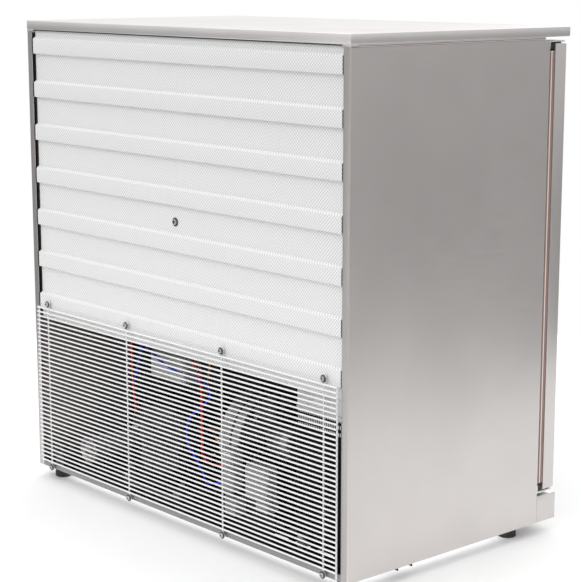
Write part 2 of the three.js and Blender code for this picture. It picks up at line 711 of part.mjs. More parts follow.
// Condenser fan: a ring on a stand, a motor on three arms, and the blade on the motor's shaft.
const fanX = [-130, -72];
const fanCentreY = rearY - 132;
const fanCentreZ = 172;
const ringOuter = 180;
const ringInner = 172;
const motorDiameter = 62;
const motorLength = 55;
const bossDiameter = 44;
const armThickness = 5;
const shaftDiameter = 8;
const bladeTip = 160;
const bladeLength = 34;
const ringLength = fanX[1] - fanX[0];
const standHalfWidth = 70;
const standSheet = 3;
const standDrop = 52; // fan's middle to the stand's top
const armHalfWidth = 5;
const armReach = ringInner / 2 + overlap;
const shaftPlay = 1;
const fanShroud = joined(
  rod('x', fanX[0], fanCentreY, fanCentreZ, ringOuter, ringLength, 40)
    .subtract(rod('x', fanX[0] - cutPast, fanCentreY, fanCentreZ, ringInner, ringLength + 2 * cutPast, 40)),
  block(fanX[0], fanX[1], fanCentreY - standHalfWidth, fanCentreY + standHalfWidth,
    panFloorZ + fit, tieTopZ),
  ...[-1, 1].map((side) => block(fanX[0], fanX[1], fanCentreY + side * standHalfWidth - standSheet / 2,
    fanCentreY + side * standHalfWidth + standSheet / 2, panFloorZ + fit, fanCentreZ - standDrop)),
  rod('x', fanX[0], fanCentreY, fanCentreZ, bossDiameter, armThickness, 24),
  block(fanX[0], fanX[0] + armThickness, fanCentreY - armHalfWidth, fanCentreY + armHalfWidth,
    fanCentreZ - armReach, fanCentreZ + armReach),
  block(fanX[0], fanX[0] + armThickness, fanCentreY - armReach, fanCentreY + armReach,
    fanCentreZ - armHalfWidth, fanCentreZ + armHalfWidth),
).subtract(rod('x', fanX[0] - cutShy, fanCentreY, fanCentreZ, shaftDiameter + shaftPlay,
  armThickness + 2 * cutShy));
add('fan_shroud', fanShroud, galvanised());
const hubGap = 4;
const hubStartX = fanX[0] + armThickness + hubGap;
const hubLength = 30;
add('fan_motor', joined(
  rod('x', fanX[0] - fit, fanCentreY, fanCentreZ, motorDiameter, -motorLength, 32),
  rod('x', fanX[0] - fit - overlap, fanCentreY, fanCentreZ, shaftDiameter,
    armThickness + hubGap + hubLength / 2 + overlap),
), blackSteel());

const bladeSheet = 2;
const bladeRoot = 3; // how far a blade runs into its hub
const bladePitch = Math.PI / 5;
const bladeSlant = 1.6; // blade's chord against its depth
const borePlay = 0.6;
function fanBlades(count, tipRadius, hub, hubDepth, chord, bore) {
  let fan = rod('x', 0, 0, 0, hub, hubDepth, 24);
  const rootRadius = hub / 2 - bladeRoot;
  for (let i = 0; i < count; i += 1) {
    const blade = new THREE.BoxGeometry(bladeSheet, chord, tipRadius - rootRadius);
    blade.rotateZ(bladePitch);
    blade.translate(hubDepth / 2, 0, (tipRadius + rootRadius) / 2);
    blade.rotateX((i / count) * 2 * Math.PI);
    fan = fan.add(solid(blade));
  }
  return fan.subtract(rod('x', -overlap, 0, 0, bore, hubDepth / 2 + 2 * overlap, 24));
}
const hubDiameter = 40;
const bladeChord = bladeLength * bladeSlant;
const shaftBore = shaftDiameter + borePlay;
const condenserBlade = fanBlades(5, bladeTip / 2, hubDiameter, hubLength, bladeChord, shaftBore);
const fanBlade = add('fan_blade', condenserBlade, blackPlastic());
fanBlade.position.set(hubStartX, fanCentreY, fanCentreZ);

// Junction box under the machine-room roof, filter drier, liquid receiver and cable gland.
const junctionX = [90, 195];
const junctionY = [rearY - 133, rearY - 93];
const junctionHeight = 50;
const hangerLength = 46;
const hangerInset = 20;
const hangerWidth = 20;
const hangerSetBack = 10;
const junctionTopZ = bayRoofZ - hangerLength;
const hanger = (x) => block(x, x + hangerWidth, junctionY[0] + hangerSetBack, junctionY[1] - hangerSetBack,
  junctionTopZ - overlap, bayRoofZ - fit);
add('junction_box', joined(
  block(...junctionX, ...junctionY, junctionTopZ - junctionHeight, junctionTopZ),
  hanger(junctionX[0] + hangerInset),
  hanger(junctionX[1] - hangerInset - hangerWidth),
), greyPlastic());

const drierX = -8;
const drierY = rearY - 190;
const drierZ = 112;
const drierLength = 92;
const drierRadius = 12;
const drierNeckRadius = 4;
const drierNeck = 10;
const drierTaper = 10;
const drierProfile = [
  [0, 0], [drierNeckRadius, 0], [drierNeckRadius, drierNeck], [drierRadius, drierNeck + drierTaper],
  [drierRadius, drierLength - drierNeck - drierTaper], [drierNeckRadius, drierLength - drierNeck],
  [drierNeckRadius, drierLength], [0, drierLength],
].map(([r, z]) => new THREE.Vector2(r, z));
const drierGeometry = new THREE.LatheGeometry(drierProfile, 20);
drierGeometry.rotateX(Math.PI / 2);
add('filter_drier', solid(drierGeometry).translate(drierX, drierY, drierZ), copper());

const receiverX = 355;
const receiverY = [rearY - 168, rearY - 53];
const receiverZ = 60;
const receiverDiameter = 50;
const receiverRimDiameter = 54;
const receiverRim = 6;
const saddleHalfWidth = 20;
const saddleThickness = 4;
const saddleInset = 20;
const saddle = (y) => block(receiverX - saddleHalfWidth, receiverX + saddleHalfWidth, y, y + saddleThickness,
  panFloorZ + fit, receiverZ);
add('liquid_receiver', joined(
  rod('y', receiverX, receiverY[0], receiverZ, receiverDiameter, receiverY[1] - receiverY[0], 32),
  rod('y', receiverX, receiverY[1] - receiverRim, receiverZ, receiverRimDiameter, receiverRim, 32),
  saddle(receiverY[0] + saddleInset),
  saddle(receiverY[1] - saddleInset - saddleThickness),
), blackSteel());

const glandInset = 70;
const glandRise = 30; // pan's rear lip to the gland's middle
const glandX = halfWidth - glandInset;
const glandZ = baseZ + baseLip + glandRise;
const glandPlateHalf = 14;
const glandPlateTop = 12;
const glandPlateDepth = 6;
const glandLength = 18;
const glandDiameter = 18;
const cordHole = 8;
const glandRearY = lipY - panThickness - fit;
const cordBore = rod('y', glandX, glandRearY - glandLength - cutPast, glandZ, cordHole,
  glandLength + 2 * cutPast, 20);
const gland = joined(
  block(glandX - glandPlateHalf, glandX + glandPlateHalf, glandRearY - glandPlateDepth, glandRearY,
    panFloorZ + fit, glandZ + glandPlateTop),
  rod('y', glandX, glandRearY - glandLength, glandZ, glandDiameter, glandLength, 24),
);
add('cable_gland', gland.subtract(cordBore), blackPlastic());

// Pipes and wires, held at both ends. Their routes are chosen by hand.
const pipeDiameter = 6;
const wireCableDiameter = 3;
add('discharge_pipe', tube([
  [compressorX - compressorRadius - 2, compressorY - 10, 150], [50, compressorY - 14, 152],
  [20, compressorY - 6, 160], [-5, compressorY + 30, 165], [-30, compressorY + 51, 169],
  [-52, compressorY + 59, 165], [-64, compressorY + 56, 146], [-66, compressorY + 43, 110],
  [-67, compressorY + 20, 76], [-78, compressorY - 7, 58], [-130, compressorY - 14, 55],
  [-200, compressorY - 15, 58], [-260, compressorY - 17, 66],
], pipeDiameter, 6, 40), copper());
add('suction_pipe', tube([
  [compressorX + 20, compressorY - compressorRadius - 3, 120], [compressorX + 22, compressorY - 84, 128],
  [compressorX + 20, compressorY - 88, 150], [compressorX + 10, compressorY - 88, 220],
  [compressorX, compressorY - 86, 290], [compressorX - 2, compressorY - 84, bayRoofZ - 2],
], pipeDiameter + 2, 6, 20), copper());
const wireTopZ = bayRoofZ - 8;
add('red_wire', tube([
  [214, compressorY + 52, 150], [240, compressorY + 30, 160], [262, compressorY + 18, 190],
  [258, compressorY + 24, 253], [240, compressorY + 34, 300], [190, compressorY + 38, wireTopZ],
  [110, compressorY + 36, wireTopZ], [62, compressorY + 38, 300], [31, compressorY + 43, 281],
  [11, compressorY + 50, 256], [3, compressorY + 55, 212], [-4, compressorY + 60, 165],
  [-30, compressorY + 78, 138], [-62, compressorY + 90, 134], [-108, compressorY + 92, 138],
], wireCableDiameter, 6, 44), material(0xb01010, 0.5, 0));
add('blue_wire', tube([
  [218, compressorY + 46, 140], [250, compressorY + 20, 150], [274, compressorY + 8, 184],
  [272, compressorY + 6, 215], [250, compressorY + 10, 262], [226, compressorY + 22, 292],
  [190, compressorY + 30, 286], [150, compressorY + 34, 272], [86, compressorY + 38, 262],
  [30, compressorY + 44, 262], [-8, compressorY + 44, 244], [11, compressorY + 46, 216],
  [36, compressorY + 55, 192], [44, compressorY + 57, 150], [10, compressorY + 62, 118],
  [-18, compressorY + 68, 98], [-50, compressorY + 88, 96], [-108, compressorY + 92, 108],
], wireCableDiameter, 6, 50), material(0x1a2fa0, 0.5, 0));

// ---- Cooling unit at the back of the cabinet's interior ----
const coolerHalfWidth = 170;
const coolerDepth = 70;
const coolerHeight = 150;
const coolerSheet = 1.5;
const coolerBottomZ = cavityTopZ - coolerHeight;
const coolerFrontY = cavityRearY - fit - coolerDepth;
const coolerCentreZ = (coolerBottomZ + cavityTopZ) / 2;
const coolerFanDiameter = 108;
const coolerFanReach = coolerFanDiameter / 2 + overlap;
const spiderHalfWidth = 3;
const louvreCount = 6;
const firstLouvre = 74;
const louvrePitch = 14;
const louvreHalfWidth = 3;
const louvreInset = 30;
const hubBossDiameter = 30;
const hubBossDepth = 4;
const coolerShaft = 6;
const coolerShaftLength = 9;
let coolerCover = block(-coolerHalfWidth, coolerHalfWidth, coolerFrontY, cavityRearY - fit,
  coolerBottomZ, cavityTopZ - fit)
  .subtract(block(-coolerHalfWidth + coolerSheet, coolerHalfWidth - coolerSheet, coolerFrontY + coolerSheet,
    cavityRearY + cutPast, coolerBottomZ + coolerSheet, cavityTopZ - fit - coolerSheet))
  .subtract(rod('y', 0, coolerFrontY - cutPast, coolerCentreZ, coolerFanDiameter, 2 * cutPast, 36));
for (let i = 0; i < louvreCount; i += 1) {
  for (const side of [-1, 1]) {
    const x = side * (firstLouvre + i * louvrePitch);
    coolerCover = coolerCover.subtract(block(x - louvreHalfWidth, x + louvreHalfWidth,
      coolerFrontY - cutPast, coolerFrontY + cutPast, coolerBottomZ + louvreInset, cavityTopZ - louvreInset));
  }
}
coolerCover = joined(
  coolerCover,
  block(-coolerFanReach, coolerFanReach, coolerFrontY, coolerFrontY + coolerSheet,
    coolerCentreZ - spiderHalfWidth, coolerCentreZ + spiderHalfWidth),
  block(-spiderHalfWidth, spiderHalfWidth, coolerFrontY, coolerFrontY + coolerSheet,
    coolerCentreZ - coolerFanReach, coolerCentreZ + coolerFanReach),
  rod('y', 0, coolerFrontY, coolerCentreZ, hubBossDiameter, hubBossDepth, 24),
  rod('y', 0, coolerFrontY + hubBossDepth - overlap, coolerCentreZ, coolerShaft, coolerShaftLength, 16),
);
add('evaporator_cover', coolerCover, whiteSheet());
const coolerHub = 26;
const coolerHubDepth = 16;
const coolerChord = 24;
const coolerTip = 46;
const coolerBladeGap = 5;
const coolerWheel = fanBlades(5, coolerTip, coolerHub, coolerHubDepth, coolerChord, coolerShaft + borePlay);
const coolerBlade = add('evaporator_blade', coolerWheel, blackPlastic());
coolerBlade.rotation.z = Math.PI / 2;
coolerBlade.position.set(0, coolerFrontY + coolerBladeGap, coolerCentreZ);
const evaporatorInset = 8;
const evaporatorY = [cavityRearY - 38, cavityRearY - 3];
const evaporatorHalf = coolerHalfWidth - evaporatorInset;
add('evaporator_coil', block(-evaporatorHalf, evaporatorHalf, ...evaporatorY,
  coolerBottomZ + evaporatorInset, cavityTopZ - evaporatorInset), aluminium());

// ---- Shelves: wire racks, two in each bay ----
const shelfGap = 4;
const shelfFrontGap = 8;
const shelfRail = shelfWire + 1;
const shelfFrontY = bodyFrontY + mullionDepth + shelfFrontGap;
const shelfX = [shelfGap, cavityHalfWidth - shelfGap];
const shelfRearY = cavityRearY - shelfGap;
const shelfWires = 9;
function shelf(side, z) {
  const rail = (y) => sided(side, ...shelfX, y, y + shelfRail, z - shelfWire, z + overlap / 2);
  const step = (shelfX[1] - shelfX[0] - shelfWire) / (shelfWires - 1);
  const wires = [];
  for (let i = 0; i < shelfWires; i += 1) {
    const x = shelfX[0] + i * step;
    wires.push(sided(side, x, x + shelfWire, shelfFrontY, shelfRearY, z, z + shelfWire));
  }
  return joined(rail(shelfFrontY), rail(shelfRearY - shelfRail), ...wires);
}
for (const [label, side] of sides) {
  add(`${label}_lower_shelf`, shelf(side, stepTopZ + lowerShelfRise), whiteWire());
  add(`${label}_upper_shelf`, shelf(side, coolerBottomZ - upperShelfDrop), whiteWire());
}

export default cabinet;
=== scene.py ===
"""A two-door refrigerated back-bar cabinet, seen from behind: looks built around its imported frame.

Metres, +Z up. The doors face -Y and the machine room opens at +Y.
"""
import json
import math

import bpy
from mathutils import Matrix, Vector

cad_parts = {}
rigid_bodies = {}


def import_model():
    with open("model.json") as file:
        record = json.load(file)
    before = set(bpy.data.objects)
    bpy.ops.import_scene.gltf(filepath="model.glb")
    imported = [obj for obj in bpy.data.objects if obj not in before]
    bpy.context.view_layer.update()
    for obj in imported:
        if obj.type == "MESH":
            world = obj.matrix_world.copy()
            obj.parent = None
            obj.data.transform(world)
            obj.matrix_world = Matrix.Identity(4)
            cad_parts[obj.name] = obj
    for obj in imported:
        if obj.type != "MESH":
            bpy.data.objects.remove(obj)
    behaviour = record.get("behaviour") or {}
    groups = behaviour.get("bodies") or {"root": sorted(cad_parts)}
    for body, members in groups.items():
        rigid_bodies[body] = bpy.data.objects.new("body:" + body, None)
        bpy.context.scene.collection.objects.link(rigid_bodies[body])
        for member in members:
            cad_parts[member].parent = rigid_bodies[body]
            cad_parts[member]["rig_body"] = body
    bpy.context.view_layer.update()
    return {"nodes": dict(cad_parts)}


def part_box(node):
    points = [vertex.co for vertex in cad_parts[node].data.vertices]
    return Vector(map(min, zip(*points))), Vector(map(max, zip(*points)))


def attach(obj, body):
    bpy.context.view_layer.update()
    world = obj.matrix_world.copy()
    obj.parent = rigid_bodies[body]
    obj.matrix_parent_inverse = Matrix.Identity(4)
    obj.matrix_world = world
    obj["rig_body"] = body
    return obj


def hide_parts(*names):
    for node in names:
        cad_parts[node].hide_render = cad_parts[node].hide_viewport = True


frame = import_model()
MM = 0.001
ROOT = "cabinet"
SIDES = (("left", -1), ("right", 1))

# ---------------------------------------------------------------- camera and studio

CAMERA_PLACE = Vector((-2.2894, 1.9924, 0.9945))
CAMERA_HEADING = math.radians(-131.333)
CAMERA_DROP = math.radians(10.944)
CAMERA_LENS = 102.74
CAMERA_SENSOR = 36

DOME_LOW = 0.72
DOME_HIGH = 1.35
SIDE_SHADE = 0.9
UNDER_DOME = 0.45
FLOOR_RADIUS = 1.65
FLOOR_GLOW = 0.05
WHITE = (1, 1, 1, 1)

# name, place, aim, size, power
LIGHTS = (
    ("rear_softbox", (0.2, 2.3, 3.2), (0, 0.2, 0.9), (2.6, 1.2), 20),
    ("front_softbox", (0.6, -3.6, 2.4), (0, 0, 0.5), (2.4, 1.8), 22),
    ("machine_room_fill", (0.5, 2.6, 0.25), (0, 0, 0.2), (1.6, 0.4), 3),
    ("under_cabinet_glow", (0, 0.02, 0.016), (0, 0.02, 0), (0.84, 0.4), 1.1),
)


def set_camera():
    data = bpy.data.cameras.new("studio_camera")
    data.lens = CAMERA_LENS
    data.sensor_width = CAMERA_SENSOR
    camera = bpy.data.objects.new("studio_camera", data)
    bpy.context.scene.collection.objects.link(camera)
    forward = Vector((
        math.cos(CAMERA_DROP) * math.sin(-CAMERA_HEADING),
        math.cos(CAMERA_DROP) * math.cos(-CAMERA_HEADING),
        -math.sin(CAMERA_DROP),
    ))
    camera.location = CAMERA_PLACE
    camera.rotation_euler = forward.to_track_quat("-Z", "Y").to_euler()
    bpy.context.scene.camera = camera


def area_light(name, place, aim, size, power):
    data = bpy.data.lights.new(name, "AREA")
    data.shape = "RECTANGLE"
    data.size, data.size_y = size
    data.energy = power
    lamp = bpy.data.objects.new(name, data)
    bpy.context.scene.collection.objects.link(lamp)
    lamp.location = place
    lamp.rotation_euler = (Vector(aim) - Vector(place)).to_track_quat("-Z", "Y").to_euler()


def set_studio():
    scene = bpy.context.scene
    scene.view_settings.view_transform = "Standard"
    scene.world = studio_world()
    for light in LIGHTS:
        area_light(*light)
    bpy.ops.mesh.primitive_circle_add(vertices=128, radius=FLOOR_RADIUS, fill_type="NGON")
    floor = bpy.context.object
    floor.name = "floor"
    floor.data.materials.append(floor_finish())


def studio_world():
    """A white dome, dimmer low on the cabinet's left and under the horizon, but plain white to the camera."""
    world = bpy.data.worlds.new("studio_white")
    world.use_nodes = True
    tree = world.node_tree
    back = tree.nodes["Background"]
    back.inputs["Color"].default_value = WHITE

    def made(kind, **settings):
        node = tree.nodes.new(kind)
        for label, value in settings.items():
            setattr(node, label, value)
        return node

    def fade(source, low, high, start, end):
        node = made("ShaderNodeMapRange")
        node.inputs["From Min"].default_value = low
        node.inputs["From Max"].default_value = high
        node.inputs["To Min"].default_value = start
        node.inputs["To Max"].default_value = end
        tree.links.new(source, node.inputs["Value"])
        return node.outputs["Result"]

    def product(first, second):
        node = made("ShaderNodeMath", operation="MULTIPLY")
        tree.links.new(first, node.inputs[0])
        tree.links.new(second, node.inputs[1])
        return node.outputs[0]

    split = made("ShaderNodeSeparateXYZ")
    tree.links.new(made("ShaderNodeTexCoord").outputs["Generated"], split.inputs["Vector"])
    left, up = split.outputs["X"], split.outputs["Z"]
    dome = product(fade(up, 0.0, 0.8, DOME_LOW, DOME_HIGH), fade(up, -0.02, 0.0, UNDER_DOME, 1.0))
    low_left = product(fade(left, -0.2, -0.8, 0.0, 1.0), fade(up, 0.5, 0.1, 0.0, 1.0))
    light = product(dome, fade(low_left, 0.0, 1.0, 1.0, SIDE_SHADE))
    seen = made("ShaderNodeMix", data_type="FLOAT")
    tree.links.new(made("ShaderNodeLightPath").outputs["Is Camera Ray"], seen.inputs["Factor"])
    tree.links.new(light, seen.inputs["A"])
    seen.inputs["B"].default_value = 1.0
    tree.links.new(seen.outputs["Result"], back.inputs["Strength"])
    return world


# ---------------------------------------------------------------- finishes

FINE_PEEL = 0.00002
SMALL_PEEL = 0.00003
SOFT_PEEL = 0.00004
USUAL_PEEL = 0.00005
COARSE_PEEL = 0.00008
NOISE_LOW = 0.3
NOISE_HIGH = 0.7
GRAIN_STRETCH = 0.012


class Finish:
    """A material being made: small helpers around its node tree."""

    def __init__(self, name, metallic=0.0, roughness=0.5, **sockets):
        self.material = bpy.data.materials.new(name)
        self.material.use_nodes = True
        self.tree = self.material.node_tree
        self.shader = self.tree.nodes["Principled BSDF"]
        self.shader.inputs["Metallic"].default_value = metallic
        self.shader.inputs["Roughness"].default_value = roughness
        for label, value in sockets.items():
            self.shader.inputs[label.replace("_", " ")].default_value = value
        self.place = self.node("ShaderNodeTexCoord").outputs["Object"]

    def node(self, kind, **settings):
        made = self.tree.nodes.new(kind)
        for label, value in settings.items():
            setattr(made, label, value)
        return made

    def link(self, start, end):
        self.tree.links.new(start, end)

    def noise(self, scale, stretch=(1, 1, 1), detail=3.0):
        mapping = self.node("ShaderNodeMapping")
        mapping.inputs["Scale"].default_value = stretch
        self.link(self.place, mapping.inputs["Vector"])
        noise = self.node("ShaderNodeTexNoise")
        noise.inputs["Scale"].default_value = scale
        noise.inputs["Detail"].default_value = detail
        self.link(mapping.outputs["Vector"], noise.inputs["Vector"])
        return noise.outputs["Fac"]

    def ramp(self, source, low, high, start=0.35, end=0.65):
        ramp = self.node("ShaderNodeValToRGB")
        ramp.color_ramp.elements[0].position = start
        ramp.color_ramp.elements[0].color = (*low, 1)
        ramp.color_ramp.elements[1].position = end
        ramp.color_ramp.elements[1].color = (*high, 1)
        self.link(source, ramp.inputs["Fac"])
        return ramp.outputs["Color"]

    def spread(self, source, low, high):
        remap = self.node("ShaderNodeMapRange")
        remap.inputs["To Min"].default_value = low
        remap.inputs["To Max"].default_value = high
        remap.inputs["From Min"].default_value = NOISE_LOW
        remap.inputs["From Max"].default_value = NOISE_HIGH
        self.link(source, remap.inputs["Value"])
        return remap.outputs["Result"]

    def colour(self, source):
        self.link(source, self.shader.inputs["Base Color"])

    def rough(self, source, low, high):
        self.link(self.spread(source, low, high), self.shader.inputs["Roughness"])

    def bump(self, source, depth, strength=1.0):
        bump = self.node("ShaderNodeBump")
        bump.inputs["Distance"].default_value = depth
        bump.inputs["Strength"].default_value = strength
        self.link(source, bump.inputs["Height"])
        self.link(bump.outputs["Normal"], self.shader.inputs["Normal"])


def darker(tone, share):
    return tuple(channel * share for channel in tone)


def floor_finish():
    floor = Finish("floor_paper", roughness=0.9, Emission_Strength=FLOOR_GLOW)
    floor.shader.inputs["Emission Color"].default_value = WHITE
    floor.colour(floor.ramp(floor.noise(4), (0.87, 0.87, 0.87), (0.89, 0.89, 0.89)))
    return floor.material


def brushed_steel(name, tone, roughness, run):
    """Satin-rolled stainless sheet with its grain along one axis letter."""
    steel = Finish(name, metallic=0.92, roughness=roughness)
    stretch = [1.0, 1.0, 1.0]
    stretch["xyz".index(run)] = GRAIN_STRETCH
    grain = steel.noise(1400, stretch, 2.0)
    cloud = steel.noise(5, detail=2.0)
    steel.colour(steel.ramp(cloud, darker(tone, 0.94), tone))
    steel.rough(grain, roughness - 0.05, roughness + 0.07)
    steel.bump(grain, SOFT_PEEL, 0.35)
    return steel.material


def painted(name, tone, roughness, peel=USUAL_PEEL, metallic=0.0, shade=0.95):
    """Smooth coating with a faint orange peel and a slight change of tone."""
    paint = Finish(name, metallic=metallic, roughness=roughness)
    peel_noise = paint.noise(420)
    paint.colour(paint.ramp(paint.noise(9), darker(tone, shade), tone))
    paint.rough(peel_noise, roughness - 0.05, roughness + 0.06)
    paint.bump(peel_noise, peel, 0.5)
    return paint.material


DOT_PITCH = 6.4 * MM
DOT_DEPTH = 0.35 * MM


def embossed_sheet():
    """White coated sheet rolled with staggered dots, its dimples darkened with painted shade."""
    sheet = Finish("embossed_white_sheet_dimple_shade", metallic=0.0, roughness=0.42)
    split = sheet.node("ShaderNodeSeparateXYZ")
    sheet.link(sheet.place, split.inputs["Vector"])
    waves = []
    for axis in ("X", "Z"):
        turn = sheet.node("ShaderNodeMath", operation="MULTIPLY")
        turn.inputs[1].default_value = 2 * math.pi / DOT_PITCH
        sheet.link(split.outputs[axis], turn.inputs[0])
        wave = sheet.node("ShaderNodeMath", operation="SINE")
        sheet.link(turn.outputs[0], wave.inputs[0])
        waves.append(wave.outputs[0])
    dots = sheet.node("ShaderNodeMath", operation="MULTIPLY")
    sheet.link(waves[0], dots.inputs[0])
    sheet.link(waves[1], dots.inputs[1])
    raised = sheet.node("ShaderNodeMapRange")
    raised.inputs["From Min"].default_value = -0.2
    raised.inputs["From Max"].default_value = 0.9
    sheet.link(dots.outputs[0], raised.inputs["Value"])
    # The ramp darkens the dimples between the dots: painted shade in the hollows.
    sheet.colour(sheet.ramp(raised.outputs["Result"], (0.67, 0.67, 0.67), (0.92, 0.92, 0.92), 0.0, 0.8))
    sheet.rough(sheet.noise(30), 0.38, 0.46)
    sheet.bump(raised.outputs["Result"], DOT_DEPTH, 0.6)
    return sheet.material


def spangled_zinc(name, dull, bright):
    """Galvanised sheet with a soft spangle of cells."""
    zinc = Finish(name, metallic=0.85, roughness=0.45)
    cells = zinc.node("ShaderNodeTexVoronoi")
    cells.inputs["Scale"].default_value = 90
    zinc.link(zinc.place, cells.inputs["Vector"])
    tone = zinc.node("ShaderNodeSeparateColor")
    zinc.link(cells.outputs["Color"], tone.inputs["Color"])
    zinc.colour(zinc.ramp(tone.outputs["Red"], dull, bright, 0.0, 1.0))
    zinc.rough(tone.outputs["Green"], 0.36, 0.5)
    zinc.bump(zinc.noise(300), SOFT_PEEL, 0.3)
    return zinc.material


def clear_glass():
    glass = Finish("float_glass", roughness=0.02, Transmission_Weight=1.0, IOR=1.5)
    glass.colour(glass.ramp(glass.noise(3), (0.90, 0.95, 0.94), (0.93, 0.97, 0.96)))
    glass.rough(glass.noise(60), 0.012, 0.03)
    return glass.material


def copper_finish():
    copper = Finish("drawn_copper", metallic=1.0, roughness=0.3)
    copper.colour(copper.ramp(copper.noise(60), (0.50, 0.22, 0.10), (0.80, 0.42, 0.24)))
    copper.rough(copper.noise(160), 0.22, 0.42)
    copper.bump(copper.noise(500), SMALL_PEEL, 0.3)
    return copper.material


def rubber_finish(name, tone):
    rubber = Finish(name, roughness=0.78)
    rubber.colour(rubber.ramp(rubber.noise(120), darker(tone, 0.7), tone))
    rubber.rough(rubber.noise(300), 0.68, 0.85)
    rubber.bump(rubber.noise(900), COARSE_PEEL, 0.5)
    return rubber.material


def foil_finish():
    """Bare rolled aluminium, as on fins and liners."""
    foil = Finish("rolled_aluminium", metallic=0.9, roughness=0.35)
    foil.colour(foil.ramp(foil.noise(18), (0.70, 0.71, 0.72), (0.82, 0.83, 0.84)))
    upright_grain = foil.noise(700, (1, 1, 0.03))
    foil.rough(upright_grain, 0.28, 0.42)
    foil.bump(upright_grain, SMALL_PEEL, 0.3)
    return foil.material


def light_strip_finish():
    strip = Finish("light_strip", roughness=0.4, Emission_Strength=1.4)
    strip.shader.inputs["Emission Color"].default_value = (0.93, 0.96, 1.0, 1)
    strip.colour(strip.ramp(strip.noise(200), (0.88, 0.90, 0.92), (0.95, 0.96, 0.98)))
    return strip.material


SATIN_TONE = (0.665, 0.635, 0.622)

STEEL = brushed_steel("satin_steel", SATIN_TONE, 0.36, "y")
FRONT_STEEL = brushed_steel("satin_steel_front", SATIN_TONE, 0.34, "x")
# A darker copy of the satin steel for the rear flanges: painted shade.
SHADED_FLANGE_STEEL = brushed_steel("satin_steel_flange_painted_shade", (0.50, 0.475, 0.465), 0.34, "z")
WORKTOP_STEEL = brushed_steel("worktop_steel", (0.80, 0.775, 0.765), 0.36, "x")
# Brownish grey on the machine room's right wall: a painted reflection of the wires in the polished steel.
REFLECTION_TONED_WALL = painted("inner_wall_painted_reflection", (0.56, 0.48, 0.455), 0.24, FINE_PEEL, 0.45, 0.92)

EMBOSSED = embossed_sheet()
WHITE_COAT = painted("white_epoxy", (0.86, 0.86, 0.86), 0.38)
ZINC = spangled_zinc("galvanised_sheet", (0.46, 0.46, 0.47), (0.60, 0.60, 0.61))
ZINC_PALE = spangled_zinc("pale_galvanised_sheet", (0.66, 0.66, 0.66), (0.76, 0.76, 0.76))
SCREW_STEEL = painted("blued_screw_steel", (0.50, 0.50, 0.51), 0.14, FINE_PEEL, 1.0, 0.7)
ZINC_PLATED = painted("zinc_plated_steel", (0.62, 0.61, 0.60), 0.24, FINE_PEEL, 1.0, 0.85)
DARK_STEEL = painted("dark_plated_steel", (0.10, 0.10, 0.105), 0.34, SMALL_PEEL, 0.8, 0.8)
BLACK_GLOSS = painted("gloss_black_paint", (0.055, 0.055, 0.058), 0.13, FINE_PEEL, 0.85, 0.8)
RIM_BLACK = painted("black_ring_edge", (0.012, 0.012, 0.012), 0.4)
# Near-black: black paint on the condenser fins and brackets, and painted shade for the dark machine room (its
# linings and the pan's inside).
BLACK_PAINT_AND_SHADE = painted("black_paint_and_painted_shade", (0.008, 0.008, 0.008), 0.6, COARSE_PEEL)
RECEIVER_GREY = painted("receiver_grey_paint", (0.66, 0.62, 0.61), 0.26, SOFT_PEEL, 0.5, 0.9)
BASE_GREY = painted("grey_base_paint", (0.31, 0.31, 0.31), 0.45, SOFT_PEEL, 0.3, 0.92)
FAN_GREY = painted("fan_ring_grey", (0.36, 0.36, 0.365), 0.36, SMALL_PEEL, 0.7, 0.9)

BLACK_SATIN = painted("black_moulding", (0.02, 0.02, 0.02), 0.5, COARSE_PEEL)
BUTTON_GREY = painted("grey_moulding", (0.52, 0.52, 0.52), 0.48, COARSE_PEEL)
BOX_GREY = painted("light_grey_moulding", (0.52, 0.52, 0.52), 0.5, COARSE_PEEL)
STARTER_GREY = painted("mid_grey_moulding", (0.34, 0.34, 0.34), 0.5, COARSE_PEEL)
DISPLAY = painted("display_window", (0.03, 0.012, 0.012), 0.12)
LIGHT = light_strip_finish()

ALUMINIUM = foil_finish()
GLASS = clear_glass()
COPPER = copper_finish()
FOOT_RUBBER = rubber_finish("foot_rubber", (0.035, 0.037, 0.036))
GASKET_BROWN = painted("gasket_bellows", (0.32, 0.21, 0.18), 0.6, COARSE_PEEL, 0.0, 0.85)
GASKET_LIP = rubber_finish("gasket_lip", (0.55, 0.46, 0.43))
TRIM_PALE = painted("pale_gasket_lip", (0.86, 0.78, 0.76), 0.6, COARSE_PEEL)
# Black for the seals at the rear panel's edges, and painted shade where it fills the gap under the worktop.
SEAL_AND_SHADE_BLACK = rubber_finish("black_foam_seal_and_painted_shade", (0.02, 0.02, 0.02))
UNDERLAY = painted("worktop_underlay_paper", (0.93, 0.90, 0.89), 0.6, COARSE_PEEL)
RED = painted("red_insulation", (0.85, 0.004, 0.004), 0.42)
BLUE = painted("blue_insulation", (0.008, 0.05, 0.80), 0.42)
FOAM = rubber_finish("foam_edge", (0.80, 0.72, 0.50))

# ---------------------------------------------------------------- workshop

MERGE_NEW = 0.00002
MERGE_COPY = 0.00001


def at(x, y, z):
    """A point given in millimetres."""
    return Vector((x, y, z)) * MM


def settle():
    """Leaves edit mode with nothing selected."""
    if bpy.context.mode != "OBJECT":
        bpy.ops.object.mode_set(mode="OBJECT")
    bpy.ops.object.select_all(action="DESELECT")


def pick(*pieces):
    settle()
    for piece in pieces:
        piece.select_set(True)
    bpy.context.view_layer.objects.active = pieces[0]


def fix_place(piece):
    """Moves a piece's place, turn and scale into its mesh."""
    pick(piece)
    bpy.ops.object.transform_apply(location=True, rotation=True, scale=True)


def edit(piece, mode="FACE"):
    pick(piece)
    bpy.ops.object.mode_set(mode="EDIT")
    bpy.ops.mesh.select_mode(type=mode)
    bpy.ops.mesh.select_all(action="DESELECT")


